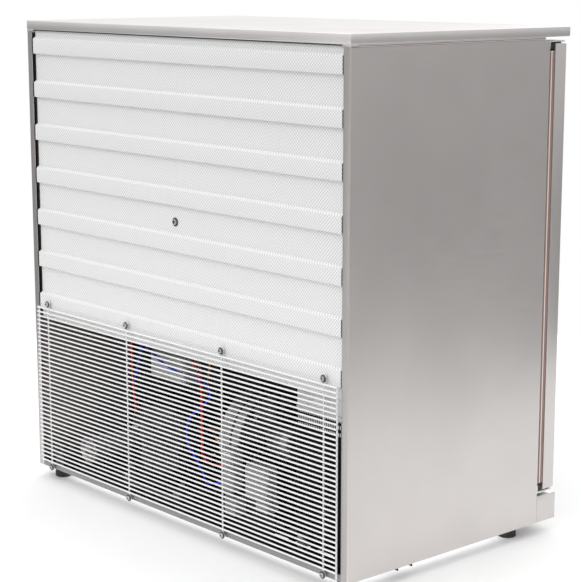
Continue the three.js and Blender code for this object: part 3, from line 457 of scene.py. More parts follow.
def choose_faces(piece, test):
    """Selects the faces that pass test(centre, normal) and stays in edit mode."""
    bpy.ops.object.mode_set(mode="OBJECT")
    for face in piece.data.polygons:
        face.select = test(face.center, face.normal)
    bpy.ops.object.mode_set(mode="EDIT")


def coat(piece, finish):
    piece.data.materials.clear()
    piece.data.materials.append(finish)
    return piece


def done(piece, name, finish=None, body=None, replaced=None, smooth=32):
    """Names a piece, gives it its finish, and hangs it on its body."""
    settle()
    piece.name = name
    piece.data.name = name
    if finish:
        coat(piece, finish)
    pick(piece)
    bpy.ops.object.shade_smooth_by_angle(angle=math.radians(smooth))
    if body is None:
        body = frame["nodes"][replaced]["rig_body"] if replaced else ROOT
    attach(piece, body)
    if replaced:
        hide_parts(replaced)
    settle()
    return piece


def apply_modifier(piece, kind, **settings):
    pick(piece)
    modifier = piece.modifiers.new(kind.lower(), kind)
    for label, value in settings.items():
        setattr(modifier, label, value)
    bpy.ops.object.modifier_apply(modifier=modifier.name)


def round_edges(piece, width, segments, sharpest):
    """Bevels the edges whose faces meet at more than sharpest degrees."""
    apply_modifier(piece, "BEVEL", width=width * MM, segments=segments, limit_method="ANGLE",
                   angle_limit=math.radians(sharpest))


def carve(piece, *cutters):
    """Cuts each cutter's shape out of a piece."""
    for cutter in cutters:
        apply_modifier(piece, "BOOLEAN", operation="DIFFERENCE", solver="EXACT", object=cutter)
        bpy.data.objects.remove(cutter)
    return piece


def outward(piece):
    """Merges a piece's doubles and turns its faces outwards."""
    edit(piece)
    bpy.ops.mesh.select_all(action="SELECT")
    bpy.ops.mesh.remove_doubles(threshold=MERGE_NEW)
    bpy.ops.mesh.normals_make_consistent(inside=False)
    settle()
    return piece


def block(x0, x1, y0, y1, z0, z1, edge=0.0, segments=2):
    """A box between two corners in millimetres, with all its edges rounded."""
    settle()
    low = at(min(x0, x1), min(y0, y1), min(z0, z1))
    high = at(max(x0, x1), max(y0, y1), max(z0, z1))
    bpy.ops.mesh.primitive_cube_add(size=1, location=(low + high) / 2)
    piece = bpy.context.object
    piece.scale = high - low
    fix_place(piece)
    if edge:
        edit(piece, "EDGE")
        bpy.ops.mesh.select_all(action="SELECT")
        bpy.ops.mesh.bevel(offset=edge * MM, segments=segments, affect="EDGES")
        settle()
    return piece


def rod(start, end, radius, sides=12, rim=0.0):
    """A round bar between two points in millimetres, its ends eased by rim."""
    settle()
    start = at(*start)
    end = at(*end)
    run = end - start
    bpy.ops.mesh.primitive_cylinder_add(
        vertices=sides, radius=radius * MM, depth=run.length, location=(start + end) / 2)
    piece = bpy.context.object
    piece.rotation_euler = run.to_track_quat("Z", "Y").to_euler()
    fix_place(piece)
    if rim:
        edit(piece)
        along = run.normalized()
        choose_faces(piece, lambda centre, normal: abs(normal.dot(along)) > 0.9)
        bpy.ops.mesh.bevel(offset=rim * MM, segments=2, affect="EDGES")
        settle()
    return piece


def trace(points):
    """An open outline in metres, extruded point by point from a single vertex."""
    settle()
    bpy.ops.mesh.primitive_plane_add(size=MM, location=points[0])
    piece = bpy.context.object
    edit(piece, "VERT")
    bpy.ops.mesh.select_all(action="SELECT")
    bpy.ops.mesh.merge(type="CENTER")
    for near, far in zip(points, points[1:]):
        bpy.ops.mesh.extrude_region_move(TRANSFORM_OT_translate={"value": far - near})
    fix_place(piece)
    return piece


AXES = {"x": Vector((1, 0, 0)), "y": Vector((0, 1, 0)), "z": Vector((0, 0, 1))}
OUTWARD = {"x": Vector((0, 0, 1)), "y": Vector((1, 0, 0)), "z": Vector((1, 0, 0))}


def turned(centre, axis, profile, steps=32):
    """A lathe shape: the profile holds (radius, distance along the axis), all in millimetres."""
    middle = at(*centre)
    line = [middle + (OUTWARD[axis] * r + AXES[axis] * h) * MM for r, h in profile]
    piece = trace(line)
    edit(piece, "VERT")
    bpy.ops.mesh.select_all(action="SELECT")
    bpy.ops.mesh.spin(steps=steps, angle=2 * math.pi, center=middle, axis=AXES[axis])
    return outward(piece)


def folded(points, fold, sweep, thickness):
    """A bent sheet: its middle line with rounded folds, swept straight and given its thickness."""
    piece = trace([at(*p) for p in points])
    if fold:
        edit(piece, "VERT")
        bpy.ops.object.mode_set(mode="OBJECT")
        for vertex in piece.data.vertices[1:-1]:
            vertex.select = True
        bpy.ops.object.mode_set(mode="EDIT")
        bpy.ops.mesh.bevel(offset=fold * MM, segments=4, affect="VERTICES")
    edit(piece, "VERT")
    bpy.ops.mesh.select_all(action="SELECT")
    bpy.ops.mesh.extrude_region_move(TRANSFORM_OT_translate={"value": at(*sweep)})
    outward(piece)
    apply_modifier(piece, "SOLIDIFY", thickness=thickness * MM, offset=0)
    return piece


def welded(pieces):
    """Joins several pieces into the first."""
    if len(pieces) > 1:
        pick(*pieces)
        bpy.ops.object.join()
    return pieces[0]


def twin(piece, shift=(0, 0, 0), turn=None):
    """A copy of a piece with its own mesh, moved by millimetres or turned by a matrix."""
    copy = bpy.data.objects.new(piece.name, piece.data.copy())
    bpy.context.scene.collection.objects.link(copy)
    if turn:
        copy.data.transform(turn)
    copy.data.transform(Matrix.Translation(at(*shift)))
    return copy


def row(piece, count, step):
    """A piece and its copies in a straight row, as one mesh."""
    copies = [twin(piece, [step[k] * i for k in range(3)]) for i in range(1, count)]
    return welded([piece, *copies])


def turn_about(middle, angle, axis):
    return Matrix.Translation(middle) @ Matrix.Rotation(angle, 4, AXES[axis]) @ Matrix.Translation(-middle)


def around(piece, centre, axis, count):
    """A piece and its copies around an axis through centre, as one mesh."""
    turns = [turn_about(at(*centre), 2 * math.pi * i / count, axis) for i in range(1, count)]
    return welded([piece, *(twin(piece, turn=turn) for turn in turns)])


def merged_copy(node):
    """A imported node's mesh as a piece of its own, its loose triangles merged into whole faces."""
    source = frame["nodes"][node]
    piece = bpy.data.objects.new(node, source.data.copy())
    bpy.context.scene.collection.objects.link(piece)
    edit(piece)
    bpy.ops.mesh.select_all(action="SELECT")
    bpy.ops.mesh.remove_doubles(threshold=MERGE_COPY)
    bpy.ops.mesh.dissolve_limited(angle_limit=math.radians(1))
    settle()
    return piece


def eased(node, edge, finish, segments=2, extra=(), smooth=32):
    """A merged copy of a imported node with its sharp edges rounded, and any further pieces joined to it."""
    piece = coat(merged_copy(node), finish)
    round_edges(piece, edge, segments, 40)
    return done(welded([piece, *extra]), node + "_finished", replaced=node, smooth=smooth)


def open_plate(middle, size, turn, width, sweep):
    """A rectangular ring: a plane inset by width, its middle taken out, swept straight."""
    settle()
    bpy.ops.mesh.primitive_plane_add(size=1, location=middle, rotation=(turn, 0, 0))
    piece = bpy.context.object
    piece.scale = (abs(size[0]) * MM, abs(size[1]) * MM, 1)
    fix_place(piece)
    edit(piece)
    bpy.ops.mesh.select_all(action="SELECT")
    bpy.ops.mesh.inset(thickness=width * MM)
    bpy.ops.mesh.delete(type="FACE")
    bpy.ops.mesh.select_all(action="SELECT")
    bpy.ops.mesh.extrude_region_move(TRANSFORM_OT_translate={"value": at(*sweep)})
    return outward(piece)


def upright_ring(x0, x1, z0, z1, width, y0, y1):
    middle = at((x0 + x1) / 2, y0, (z0 + z1) / 2)
    return open_plate(middle, (x1 - x0, z1 - z0), math.pi / 2, width, (0, y1 - y0, 0))


def level_ring(x0, x1, y0, y1, width, z0, z1):
    middle = at((x0 + x1) / 2, (y0 + y1) / 2, z0)
    return open_plate(middle, (x1 - x0, y1 - y0), 0, width, (0, 0, z1 - z0))


def drawn_wire(points, radius, rings=2, steps=8):
    """A round wire or pipe along a smooth curve through points in millimetres."""
    settle()
    data = bpy.data.curves.new("route", "CURVE")
    data.dimensions = "3D"
    data.bevel_depth = radius * MM
    data.bevel_resolution = rings
    data.resolution_u = steps
    data.use_fill_caps = True
    spline = data.splines.new("BEZIER")
    spline.bezier_points.add(len(points) - 1)
    for knot, place in zip(spline.bezier_points, points):
        knot.co = at(*place)
        knot.handle_left_type = "AUTO"
        knot.handle_right_type = "AUTO"
    piece = bpy.data.objects.new("route", data)
    bpy.context.scene.collection.objects.link(piece)
    pick(piece)
    bpy.ops.object.convert(target="MESH")
    return outward(bpy.context.object)


def span(node):
    """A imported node's corners in millimetres: x0, x1, y0, y1, z0, z1."""
    low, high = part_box(node)
    return [value / MM for k in range(3) for value in (low[k], high[k])]


# ---------------------------------------------------------------- fasteners


def pan_screw(x, y, z, radius=4.5, head=4.0, length=12.0):
    """A cross-recessed pan-head screw that faces +Y, its head's top at y."""
    shank = radius * 0.45
    profile = [(0, 0), (radius * 0.6, -0.1), (radius * 0.86, -head * 0.22), (radius, -head * 0.6),
               (radius, -head), (shank, -head), (shank, -length), (0, -length - shank)]
    screw = turned((x, y, z), "y", profile, 24)
    arm = radius * 0.55
    blade = radius * 0.13
    floor = y - head * 0.45
    carve(screw, block(x - arm, x + arm, floor, y + 1, z - blade, z + blade),
          block(x - blade, x + blade, floor, y + 1, z - arm, z + arm))
    return coat(screw, SCREW_STEEL)


def washer(x, y, z, radius, thickness):
    """A flat washer whose front face is at y."""
    hole = radius * 0.4
    return coat(turned((x, y, z), "y", [
        (hole, 0), (radius * 0.94, 0), (radius, -thickness * 0.4), (radius, -thickness),
        (hole, -thickness), (hole, 0)], 28), DARK_STEEL)


# ---------------------------------------------------------------- cabinet shell

HALF_WIDTH = 450.0
PANEL_SHEET = 1.0
PANEL_FOLD = 2.4
FRONT_FLANGE = 20.0
REAR_FLANGE = 16.0
END_FLANGE = (435.2, 448.8)


def build_side_panels():
    for side, sign in SIDES:
        _, _, y0, y1, z0, z1 = span(side + "_side_panel")
        face = sign * (HALF_WIDTH - PANEL_SHEET / 2)
        front = y0 + PANEL_SHEET / 2
        rear = y1 - PANEL_SHEET / 2
        panel = folded([
            (sign * (HALF_WIDTH - FRONT_FLANGE), front, z0), (face, front, z0), (face, rear, z0),
            (sign * (HALF_WIDTH - REAR_FLANGE), rear, z0),
        ], PANEL_FOLD, (0, 0, z1 - z0), PANEL_SHEET)
        near, far = END_FLANGE
        flanges = [block(sign * near, sign * far, y0 + 3, y1 - 3, z, z + PANEL_SHEET, 0.2)
                   for z in (z0, z1 - PANEL_SHEET)]
        sheet = coat(welded([panel, *flanges]), STEEL)
        # The rear flange's faces take the darker copy: painted shade on the same sheet.
        sheet.data.materials.append(SHADED_FLANGE_STEEL)
        for facet in sheet.data.polygons:
            if facet.normal.y > 0.9 and facet.center.y > (y1 - PANEL_SHEET) * MM:
                facet.material_index = 1
        done(sheet, side + "_side_sheet", replaced=side + "_side_panel")


WORKTOP_UNDER = 884.0
PAD_FRONT = -202.0
PAD_REAR = 235.0
PAD_TOP = 883.4
BEAD_LOW = 880.4
BEAD_HIGH = 881.3


def build_worktop():
    """The folded top sheet with its hem, on a pad with a brown bead, two battens and a black strip at the
    rear, painted shade for the gap under the worktop.
    """
    x0, x1, y0, y1, z0, z1 = span("worktop")
    top = coat(block(x0, x1, y0, y1, WORKTOP_UNDER, z1, 0.9, 3), WORKTOP_STEEL)
    hem = level_ring(x0 + 1, x1 - 1, y0 + 1, y1 - 1, 14, WORKTOP_UNDER - 0.8, WORKTOP_UNDER + 0.2)
    done(welded([top, coat(hem, WORKTOP_STEEL)]), "worktop_sheet", replaced="worktop")
    pad = block(x0 + 3, x1 - 3, PAD_FRONT, PAD_REAR, z0, PAD_TOP, 0.5)
    done(pad, "worktop_underlay", UNDERLAY)
    bead = block(x0 + 2.2, x1 - 2.2, PAD_FRONT - 0.6, PAD_REAR + 0.2, BEAD_LOW, BEAD_HIGH, 0.2)
    done(bead, "worktop_bead", GASKET_BROWN)
    for side, sign in SIDES:
        batten = block(sign * 430.6, sign * 449.4, PAD_REAR + 0.4, 252.6, z0, PAD_TOP, 0.4)
        done(batten, side + "_rear_batten", STEEL)
    # A black strip in the gap under the worktop's rear edge: painted shade for the deep shadow there.
    seal = block(-430.2, 430.2, PAD_REAR + 1, 250.6, BEAD_HIGH + 0.1, PAD_TOP, 0.3)
    done(seal, "worktop_rear_gap_shade", SEAL_AND_SHADE_BLACK)


RECESS_Y = 246.5
REAR_SHEET = 1.2
FIRST_BAND = 20.0
BAND_RISE = 6.0
BAND_PITCH = 82.1
BAND_HEIGHT = 32.0
BAND_SLOPE = 4.0
BAND_UNDERCUT = 1.0
BAND_COUNT = 7
MIDDLE_SCREW_Z = 562.0


def build_rear_panel():
    x0, x1, _, _, z0, z1 = span("rear_panel")
    back = RECESS_Y - REAR_SHEET / 2
    line = [(x0, back, z0)]
    for i in range(BAND_COUNT):
        low = z0 + FIRST_BAND + i * BAND_PITCH
        line += [(x0, back, low), (x0, back + BAND_RISE, low + BAND_UNDERCUT),
                 (x0, back + BAND_RISE, low + BAND_HEIGHT - BAND_SLOPE), (x0, back, low + BAND_HEIGHT)]
    line.append((x0, back, z1))
    panel = folded(line, 0.5, (x1 - x0, 0, 0), REAR_SHEET)
    done(panel, "rear_sheet", EMBOSSED, replaced="rear_panel", smooth=18)
    for side, sign in SIDES:
        seal = block(sign * 431, sign * 447.6, RECESS_Y - 1.4, RECESS_Y + 0.4, 334.5, 876.6, 0.3)
        done(seal, side + "_panel_seal", SEAL_AND_SHADE_BLACK)
    head = pan_screw(0, RECESS_Y + 4.4, MIDDLE_SCREW_Z, 5.4, 3.6, 8)
    disc = washer(0, RECESS_Y + 1.3, MIDDLE_SCREW_Z, 7.8, 1.2)
    done(welded([head, disc]), "rear_sheet_screw")


PAN_LIP_Y = 249.5
PAN_FLOOR_Z = 25.6
FOOT_PAD_OUTLINE = [
    (0, 0), (15, 0), (16.25, 1.2), (16.25, 4.4), (15.6, 5), (15.6, 6.4), (16, 7), (15.4, 17.5), (13.6, 20.4),
    (11, 21.2), (0, 21.2)]
FOOT_NUT_OUTLINE = [(0, 20), (8.6, 20), (8.6, 23.5), (4, 23.5)]
THREAD_LOW = 24.0
THREAD_RADIUS = 4.0
THREAD_DEPTH = 0.5
THREAD_STEP = 0.9
THREAD_STEPS = 17


def build_base():
    pan = eased("base_pan", 0.35, BASE_GREY)
    # The pan's inside faces take the near-black: painted shade on the dark machine room floor.
    pan.data.materials.append(BLACK_PAINT_AND_SHADE)
    for face in pan.data.polygons:
        if face.center.y < PAN_LIP_Y * MM and face.center.z > PAN_FLOOR_Z * MM:
            face.material_index = 1
    eased("base_crossbar", 0.5, BLACK_SATIN)


def build_feet():
    """Rubber pads on threaded studs."""
    for place in ("front_left", "front_right", "rear_left", "rear_right"):
        x0, x1, y0, y1, _, z1 = span(place + "_foot")
        centre = ((x0 + x1) / 2, (y0 + y1) / 2, 0)
        pad = coat(turned(centre, "z", FOOT_PAD_OUTLINE, 40), FOOT_RUBBER)
        thread = [(THREAD_RADIUS - THREAD_DEPTH * (i % 2), THREAD_LOW + i * THREAD_STEP)
                  for i in range(THREAD_STEPS)]
        tip = [(3, z1 - 0.4), (0, z1)]
        stud = coat(turned(centre, "z", FOOT_NUT_OUTLINE + thread + tip, 20), ZINC_PLATED)
        done(welded([pad, stud]), place + "_foot_finished", replaced=place + "_foot")


# ---------------------------------------------------------------- rear grille

WIRE_Y = 260.0
WIRE_RADIUS = 1.6
WIRE_PITCH = 8.55
WIRE_COUNT = 37
LOWEST_WIRE = 39.6
UPRIGHT_Y = WIRE_Y - 2 * WIRE_RADIUS + 0.2
OUTER_UPRIGHT_X = 428.0
EYE_UPRIGHT_XS = (-397, -138, 138, 397)
EYE_RADIUS = 4.1
SCREW_BOTTOM = 27.7
SCREW_TOP = 356.5


def upright(x, low, high):
    return rod((x, UPRIGHT_Y, low), (x, UPRIGHT_Y, high), WIRE_RADIUS, 12, 0.5)


def eye(x, z):
    """A wire loop round a screw's shank."""
    settle()
    bpy.ops.mesh.primitive_torus_add(
        major_radius=EYE_RADIUS * MM, minor_radius=WIRE_RADIUS * 0.94 * MM, major_segments=24,
        minor_segments=10, location=at(x, UPRIGHT_Y, z), rotation=(math.pi / 2, 0, 0))
    loop = bpy.context.object
    fix_place(loop)
    return loop


def build_grille():
    highest = LOWEST_WIRE + (WIRE_COUNT - 1) * WIRE_PITCH
    level = rod((-430, WIRE_Y, LOWEST_WIRE), (430, WIRE_Y, LOWEST_WIRE), WIRE_RADIUS, 12, 0.5)
    parts = [row(level, WIRE_COUNT, (0, 0, WIRE_PITCH))]
    for x in (-OUTER_UPRIGHT_X, OUTER_UPRIGHT_X):
        parts.append(upright(x, 28, highest + WIRE_RADIUS))
    for x in EYE_UPRIGHT_XS:
        parts.append(upright(x, SCREW_BOTTOM + 4, SCREW_TOP - 4))
        parts += [eye(x, z) for z in (SCREW_BOTTOM, SCREW_TOP)]
    done(welded(parts), "rear_grille_wires", WHITE_COAT, replaced="rear_grille", smooth=50)


def build_grille_screws():
    """Eight screws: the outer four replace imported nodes, and the inner four are only here."""
    ends = {EYE_UPRIGHT_XS[0]: "left", EYE_UPRIGHT_XS[-1]: "right"}
    head = welded([pan_screw(0, 262.5, 0, 4.5, 3.2, 14), washer(0, 259.6, 0, 6.4, 1.1)])
    for x in EYE_UPRIGHT_XS:
        for place, z in (("top", SCREW_TOP), ("bottom", SCREW_BOTTOM)):
            screw = twin(head, (x, 0, z))
            if x in ends:
                node = f"{place}_{ends[x]}_screw"
                done(screw, node + "_finished", replaced=node)
            else:
                done(screw, f"{place}_inner_{'left' if x < 0 else 'right'}_screw")
    bpy.data.objects.remove(head)


# ---------------------------------------------------------------- plinth and control panel

DISPLAY_FACE = -261.9
DIGIT_XS = (268.5, 277.5)
DIGIT_LOW = 48.4
BAR_LONG = 4.4
BAR_TALL = 4.0
BAR_THIN = 0.8
LIT = {"a": (0, 9, True), "b": (5, 4.5, False), "c": (5, 0, False), "d": (0, 0, True), "g": (0, 4.5, True)}


def build_plinth():
    eased("front_plinth", 0.5, FRONT_STEEL)
    window = block(264, 290, DISPLAY_FACE, DISPLAY_FACE + 0.9, 44, 63, 0.3)
    done(window, "control_display", DISPLAY)
    digits = []
    for x in DIGIT_XS:
        digits += lit_bars(x, DISPLAY_FACE - 0.2, DIGIT_LOW)
    done(welded(digits), "control_digits", RED)
    eased("control_panel", 0.6, BLACK_SATIN)
    for node in ("set_button", "down_button", "up_button"):
        x0, x1, y0, _, z0, z1 = span(node)
        x = (x0 + x1) / 2
        z = (z0 + z1) / 2
        dash = coat(block(x - 1.6, x + 1.6, y0 - 0.05, y0 + 0.4, z - 0.5, z + 0.5, 0.1), BLACK_SATIN)
        eased(node, 0.5, BUTTON_GREY, 3, [dash])
    mark = coat(rod((361, -260.4, 52.6), (361, -259.9, 52.6), 1.2, 16), WHITE_COAT)
    eased("light_switch", 0.8, BLACK_SATIN, 3, [mark])


def lit_bars(x, y, z):
    """The lit bars of one digit of a segment display, its lower corner at x and z."""
    bars = []
    for across, up, is_level in LIT.values():
        wide, tall = (BAR_LONG, BAR_THIN) if is_level else (BAR_THIN, BAR_TALL)
        left = x + across + (0.5 if is_level else 0)
        low = z + up + (0 if is_level else 0.4)
        bars.append(block(left, left + wide, y, y + 0.3, low, low + tall, 0.1, 1))
    return bars


# ---------------------------------------------------------------- doors

DOOR_FRONT = -253.4
DOOR_INNER_X = 2.0
STILE = 46.0
PANE_X = (40.6, 411.4)
PANE_Z = (122.0, 833.3)
SPACER_INSET = 7.8
HINGE_X = 438.0
HINGE_Y = -240.0
LOCK_X = 25.0
LOCK_Z = 781.9
# inset, width, front, back, finish
GASKET_LAYERS = (
    (0.0, 14.0, -225.1, -222.6, GASKET_BROWN),
    (3.4, 7.4, -222.8, -219.4, GASKET_LIP),
    (1.0, 12.2, -219.6, -217.2, GASKET_BROWN),
    (3.8, 6.8, -217.4, -213.2, GASKET_LIP),
    (0.4, 13.2, -213.4, -210.3, GASKET_BROWN),
)


def build_door(side, sign):
    build_door_frame(side, sign)
    for pane in ("_outer_pane", "_inner_pane"):
        eased(side + pane, 0.5, GLASS, 1, smooth=5)
    edge = sorted(sign * x for x in PANE_X)
    border = upright_ring(*edge, *PANE_Z, 9.5, -248.55, -248.4)
    done(border, side + "_glass_border", BLACK_SATIN, side + "_door")
    spacer = upright_ring(edge[0] + SPACER_INSET, edge[1] - SPACER_INSET, PANE_Z[0] + SPACER_INSET,
                          PANE_Z[1] - SPACER_INSET, 6, -248.2, -230.5)
    done(spacer, side + "_glass_spacer", ALUMINIUM, side + "_door")
    build_gasket(side)
    edge_trim(side, sign)
    build_lock(side, sign)


def build_door_frame(side, sign):
    _, _, _, _, z0, z1 = span(side + "_door_frame")
    mitres = []
    for x, step in ((sign * DOOR_INNER_X, sign), (sign * HALF_WIDTH, -sign)):
        for z, rise in ((z0, 1), (z1, -1)):
            mitres.append(mitre(x, step, z, rise))
    profiles = coat(merged_copy(side + "_door_frame"), FRONT_STEEL)
    round_edges(profiles, 0.8, 3, 40)
    done(welded([profiles, *mitres]), side + "_door_frame_finished", replaced=side + "_door_frame")


def mitre(x, step, z, rise):
    """A dark hairline along a frame corner's diagonal, on the door's front."""
    length = (STILE - 1.0) * math.sqrt(2)
    strip = block(-0.16, 0.16, DOOR_FRONT - 0.03, DOOR_FRONT + 0.3, 0, length)
    corner = Matrix.Translation(at(x + step * 0.7, 0, z + rise * 0.7))
    strip.data.transform(corner @ Matrix.Rotation(math.atan2(step, rise), 4, "Y"))
    return coat(strip, DARK_STEEL)


def build_gasket(side):
    x0, x1, _, _, z0, z1 = span(side + "_door_gasket")
    bellows = []
    for inset, width, front, back, finish in GASKET_LAYERS:
        layer = upright_ring(x0 + inset, x1 - inset, z0 + inset, z1 - inset, width, front, back)
        bellows.append(coat(layer, finish))
    gasket = welded(bellows)
    round_edges(gasket, 0.5, 2, 40)
    done(gasket, side + "_gasket_bellows", replaced=side + "_door_gasket")


def edge_trim(side, sign):
    """The gasket's outer lip along the door's hinge edge: a pale profile with two brown beads."""
    low, high = 96.0, 859.0
    lip = coat(block(sign * 439.5, sign * 447.6, -224.4, -212.6, low, high, 0.8), TRIM_PALE)
    beads = []
    for y, radius in ((-222.0, 2.1), (-214.9, 1.9)):
        bead = rod((sign * 447.2, y, low + 1), (sign * 447.2, y, high - 1), radius, 10, 0.3)
        beads.append(coat(bead, GASKET_BROWN))
    done(welded([lip, *beads]), side + "_gasket_outer_lip", body=side + "_door")


def build_lock(side, sign):
    """A round lock barrel with a keyway."""
    x = sign * LOCK_X
    barrel = turned((x, DOOR_FRONT, LOCK_Z), "y", [
        (0, -1.0), (4.6, -1.0), (5.2, -0.7), (6.6, -1.2), (7.6, -1.05), (8, -0.5), (8, 14), (0, 14)], 36)
    carve(barrel, block(x - 0.9, x + 0.9, DOOR_FRONT - 2.6, DOOR_FRONT + 4, LOCK_Z - 3.6, LOCK_Z + 3.6))
    done(outward(barrel), side + "_lock_barrel", ZINC_PLATED, side + "_lock", side + "_door_lock")


def build_hinges():
    """Zinc plates with a black bush at the pin, a small stop behind the door and two screw heads."""
    for side, sign in SIDES:
        for place, z, rise in (("top", 871.9, 1), ("bottom", 83.4, -1)):
            bush = coat(turned((sign * HINGE_X, HINGE_Y, z), "z", [
                (4.6, rise * 0.3), (8.4, rise * 0.3), (8.8, rise * 0.8), (8.8, rise * 1.8), (8.2, rise * 2.3),
                (4.6, rise * 2.3), (4.6, rise * 0.3)], 32), BLACK_SATIN)
            stop_z = z - rise * 5.5
            stop = block(sign * 438.6, sign * 447.6, -220.2, -212.9, stop_z - 4, stop_z + 4, 0.8)
            screws = []
            for x in (426, 436):
                start = (sign * x, HINGE_Y + 5, z + rise * 4.6)
                end = (sign * x, HINGE_Y + 5, z + rise * 5.4)
                screws.append(coat(rod(start, end, 2.4, 16, 0.3), ZINC_PLATED))
            eased(f"{side}_{place}_hinge", 0.4, ZINC_PALE, 2, [bush, coat(stop, BLACK_SATIN), *screws])


# ---------------------------------------------------------------- interior

SHELF_WIRES = 27
COIL_FINS = 81
COIL_FIN = 0.4
COIL_PIPES = 5
LINER_WALL_X = 407.6


def build_interior():
    eased("inner_liner", 0.8, ALUMINIUM)
    eased("centre_mullion", 1.5, ALUMINIUM)
    coat(frame["nodes"]["insulation_foam"], FOAM)
    for side, sign in SIDES:
        for level in ("lower", "upper"):
            build_shelf(side, sign, level)
        strip = block(sign * 40, sign * 396, -178, -166, 835, 842.6, 1.2)
        done(strip, side + "_light_strip", LIGHT)
    build_evaporator()


def build_evaporator():
    eased("evaporator_cover", 0.5, WHITE_COAT)
    x0, x1, y0, y1, z0, z1 = span("evaporator_coil")
    y = (y0 + y1) / 2
    fin = block(x0, x0 + COIL_FIN, y0, y1, z0, z1)
    pipes = []
    for k in range(COIL_PIPES):
        z = z0 + 14 + k * (z1 - z0 - 28) / (COIL_PIPES - 1)
        pipes.append(coat(rod((x0 - 2, y, z), (x1 + 2, y, z), 4, 16), COPPER))
    fins = coat(row(fin, COIL_FINS, ((x1 - x0 - COIL_FIN) / (COIL_FINS - 1), 0, 0)), ALUMINIUM)
    done(welded([fins, *pipes]), "evaporator_fins", replaced="evaporator_coil")
    wheel = blade_wheel((0, 139.7, 768), "y", 13, 46, 16, 5)
    done(wheel, "evaporator_wheel", BLACK_SATIN, replaced="evaporator_blade")


def build_shelf(side, sign, level):
    """A wire shelf on three rails, and the clips that hold it at the wall and at the mullion."""
    node = f"{side}_{level}_shelf"
    x0, x1, y0, y1, z0, z1 = span(node)
    wire_z = z1 - 1.6
    wire = coat(rod((x0 + 3, y0 + 1.5, wire_z), (x0 + 3, y1 - 1.5, wire_z), 1.5, 10, 0.4), WHITE_COAT)
    parts = [row(wire, SHELF_WIRES, ((x1 - x0 - 6) / (SHELF_WIRES - 1), 0, 0))]
    rail_z = z1 - 5.4
    for y in (y0 + 3, (y0 + y1) / 2, y1 - 3):
        parts.append(coat(rod((x0 + 0.5, y, rail_z), (x1 - 0.5, y, rail_z), 2.4, 14, 0.6), WHITE_COAT))
    done(welded(parts), node + "_wires", replaced=node, smooth=50)

    def clip(ledge_x, leg_x, ledge_y, leg_y):
        ledge = block(*ledge_x, *ledge_y, z0 - 3.4, z0 - 1.2, 0.5)
        leg = block(*leg_x, *leg_y, z0 - 20, z0 - 1.4, 0.5)
        return [ledge, leg]

    wall = sign * LINER_WALL_X
    mullion = (sign * 8, sign * 21)
    clips = []
    for y in (y0 + 3, y1 - 3):
        clips += clip((wall - sign * 10, wall), (wall - sign * 1.6, wall), (y - 5, y + 5), (y - 5, y + 5))
    clips += clip(mullion, mullion, (-179.6, y0 + 6), (-179.6, -178))
    clips += clip(mullion, mullion, (y1 - 6, 204.6), (203, 204.6))
    done(welded(clips), node + "_clips", ALUMINIUM)


BLADE_ROOT = 1.5
BLADE_CAMBER = 1.6
BLADE_STEPS = 5
BLADE_GROWTH = 1.13
BLADE_TIP = 0.86


def blade_wheel(centre, axis, hub, tip, depth, count, thickness=1.4):
    """A fan wheel: cambered blades on a hub, starting at centre and reaching depth along its axis."""
    swing = AXES["y"] if axis == "x" else AXES["x"]
    middle = at(*centre)
    chord = []
    half = hub * 0.95 * 0.9
    root = OUTWARD["x"] * (hub - BLADE_ROOT)
    for k in range(7):
        t = k / 3 - 1
        along = depth * (0.5 + 0.42 * t) + BLADE_CAMBER * (1 - t * t)
        chord.append(middle + (swing * half * t + AXES[axis] * along + root) * MM)
    blade = trace(chord)
    edit(blade, "VERT")
    bpy.ops.mesh.select_all(action="SELECT")
    rise = (tip - hub + BLADE_ROOT) / BLADE_STEPS
    for k in range(BLADE_STEPS):
        bpy.ops.mesh.extrude_region_move(TRANSFORM_OT_translate={"value": at(0, 0, rise)})
        grow = BLADE_GROWTH if k < BLADE_STEPS - 1 else BLADE_TIP
        widen = [grow if swing[i] else 1.0 for i in range(3)]
        bpy.ops.transform.resize(value=widen, center_override=middle)
    outward(blade)
    apply_modifier(blade, "SOLIDIFY", thickness=thickness * MM, offset=0)
    round_edges(blade, 0.3, 2, 50)
    blades = around(blade, centre, axis, count)
    cap = turned(centre, axis, [
        (0, depth), (hub * 0.72, depth - 0.2), (hub * 0.94, depth - 1.4), (hub, depth - 3.4), (hub, 0.6),
        (hub - 0.6, 0), (hub * 0.5, 0), (hub * 0.5, 2), (0, 2)], 36)
    return welded([blades, cap])


# ---------------------------------------------------------------- machine room

COMPRESSOR_X = 150.0
COMPRESSOR_Y = 135.0
COMPRESSOR_FOOT = 40.5
SHELL_RADIUS = 76.0
TERMINAL_TURN = 38.0
PAN_TOP = 26.8


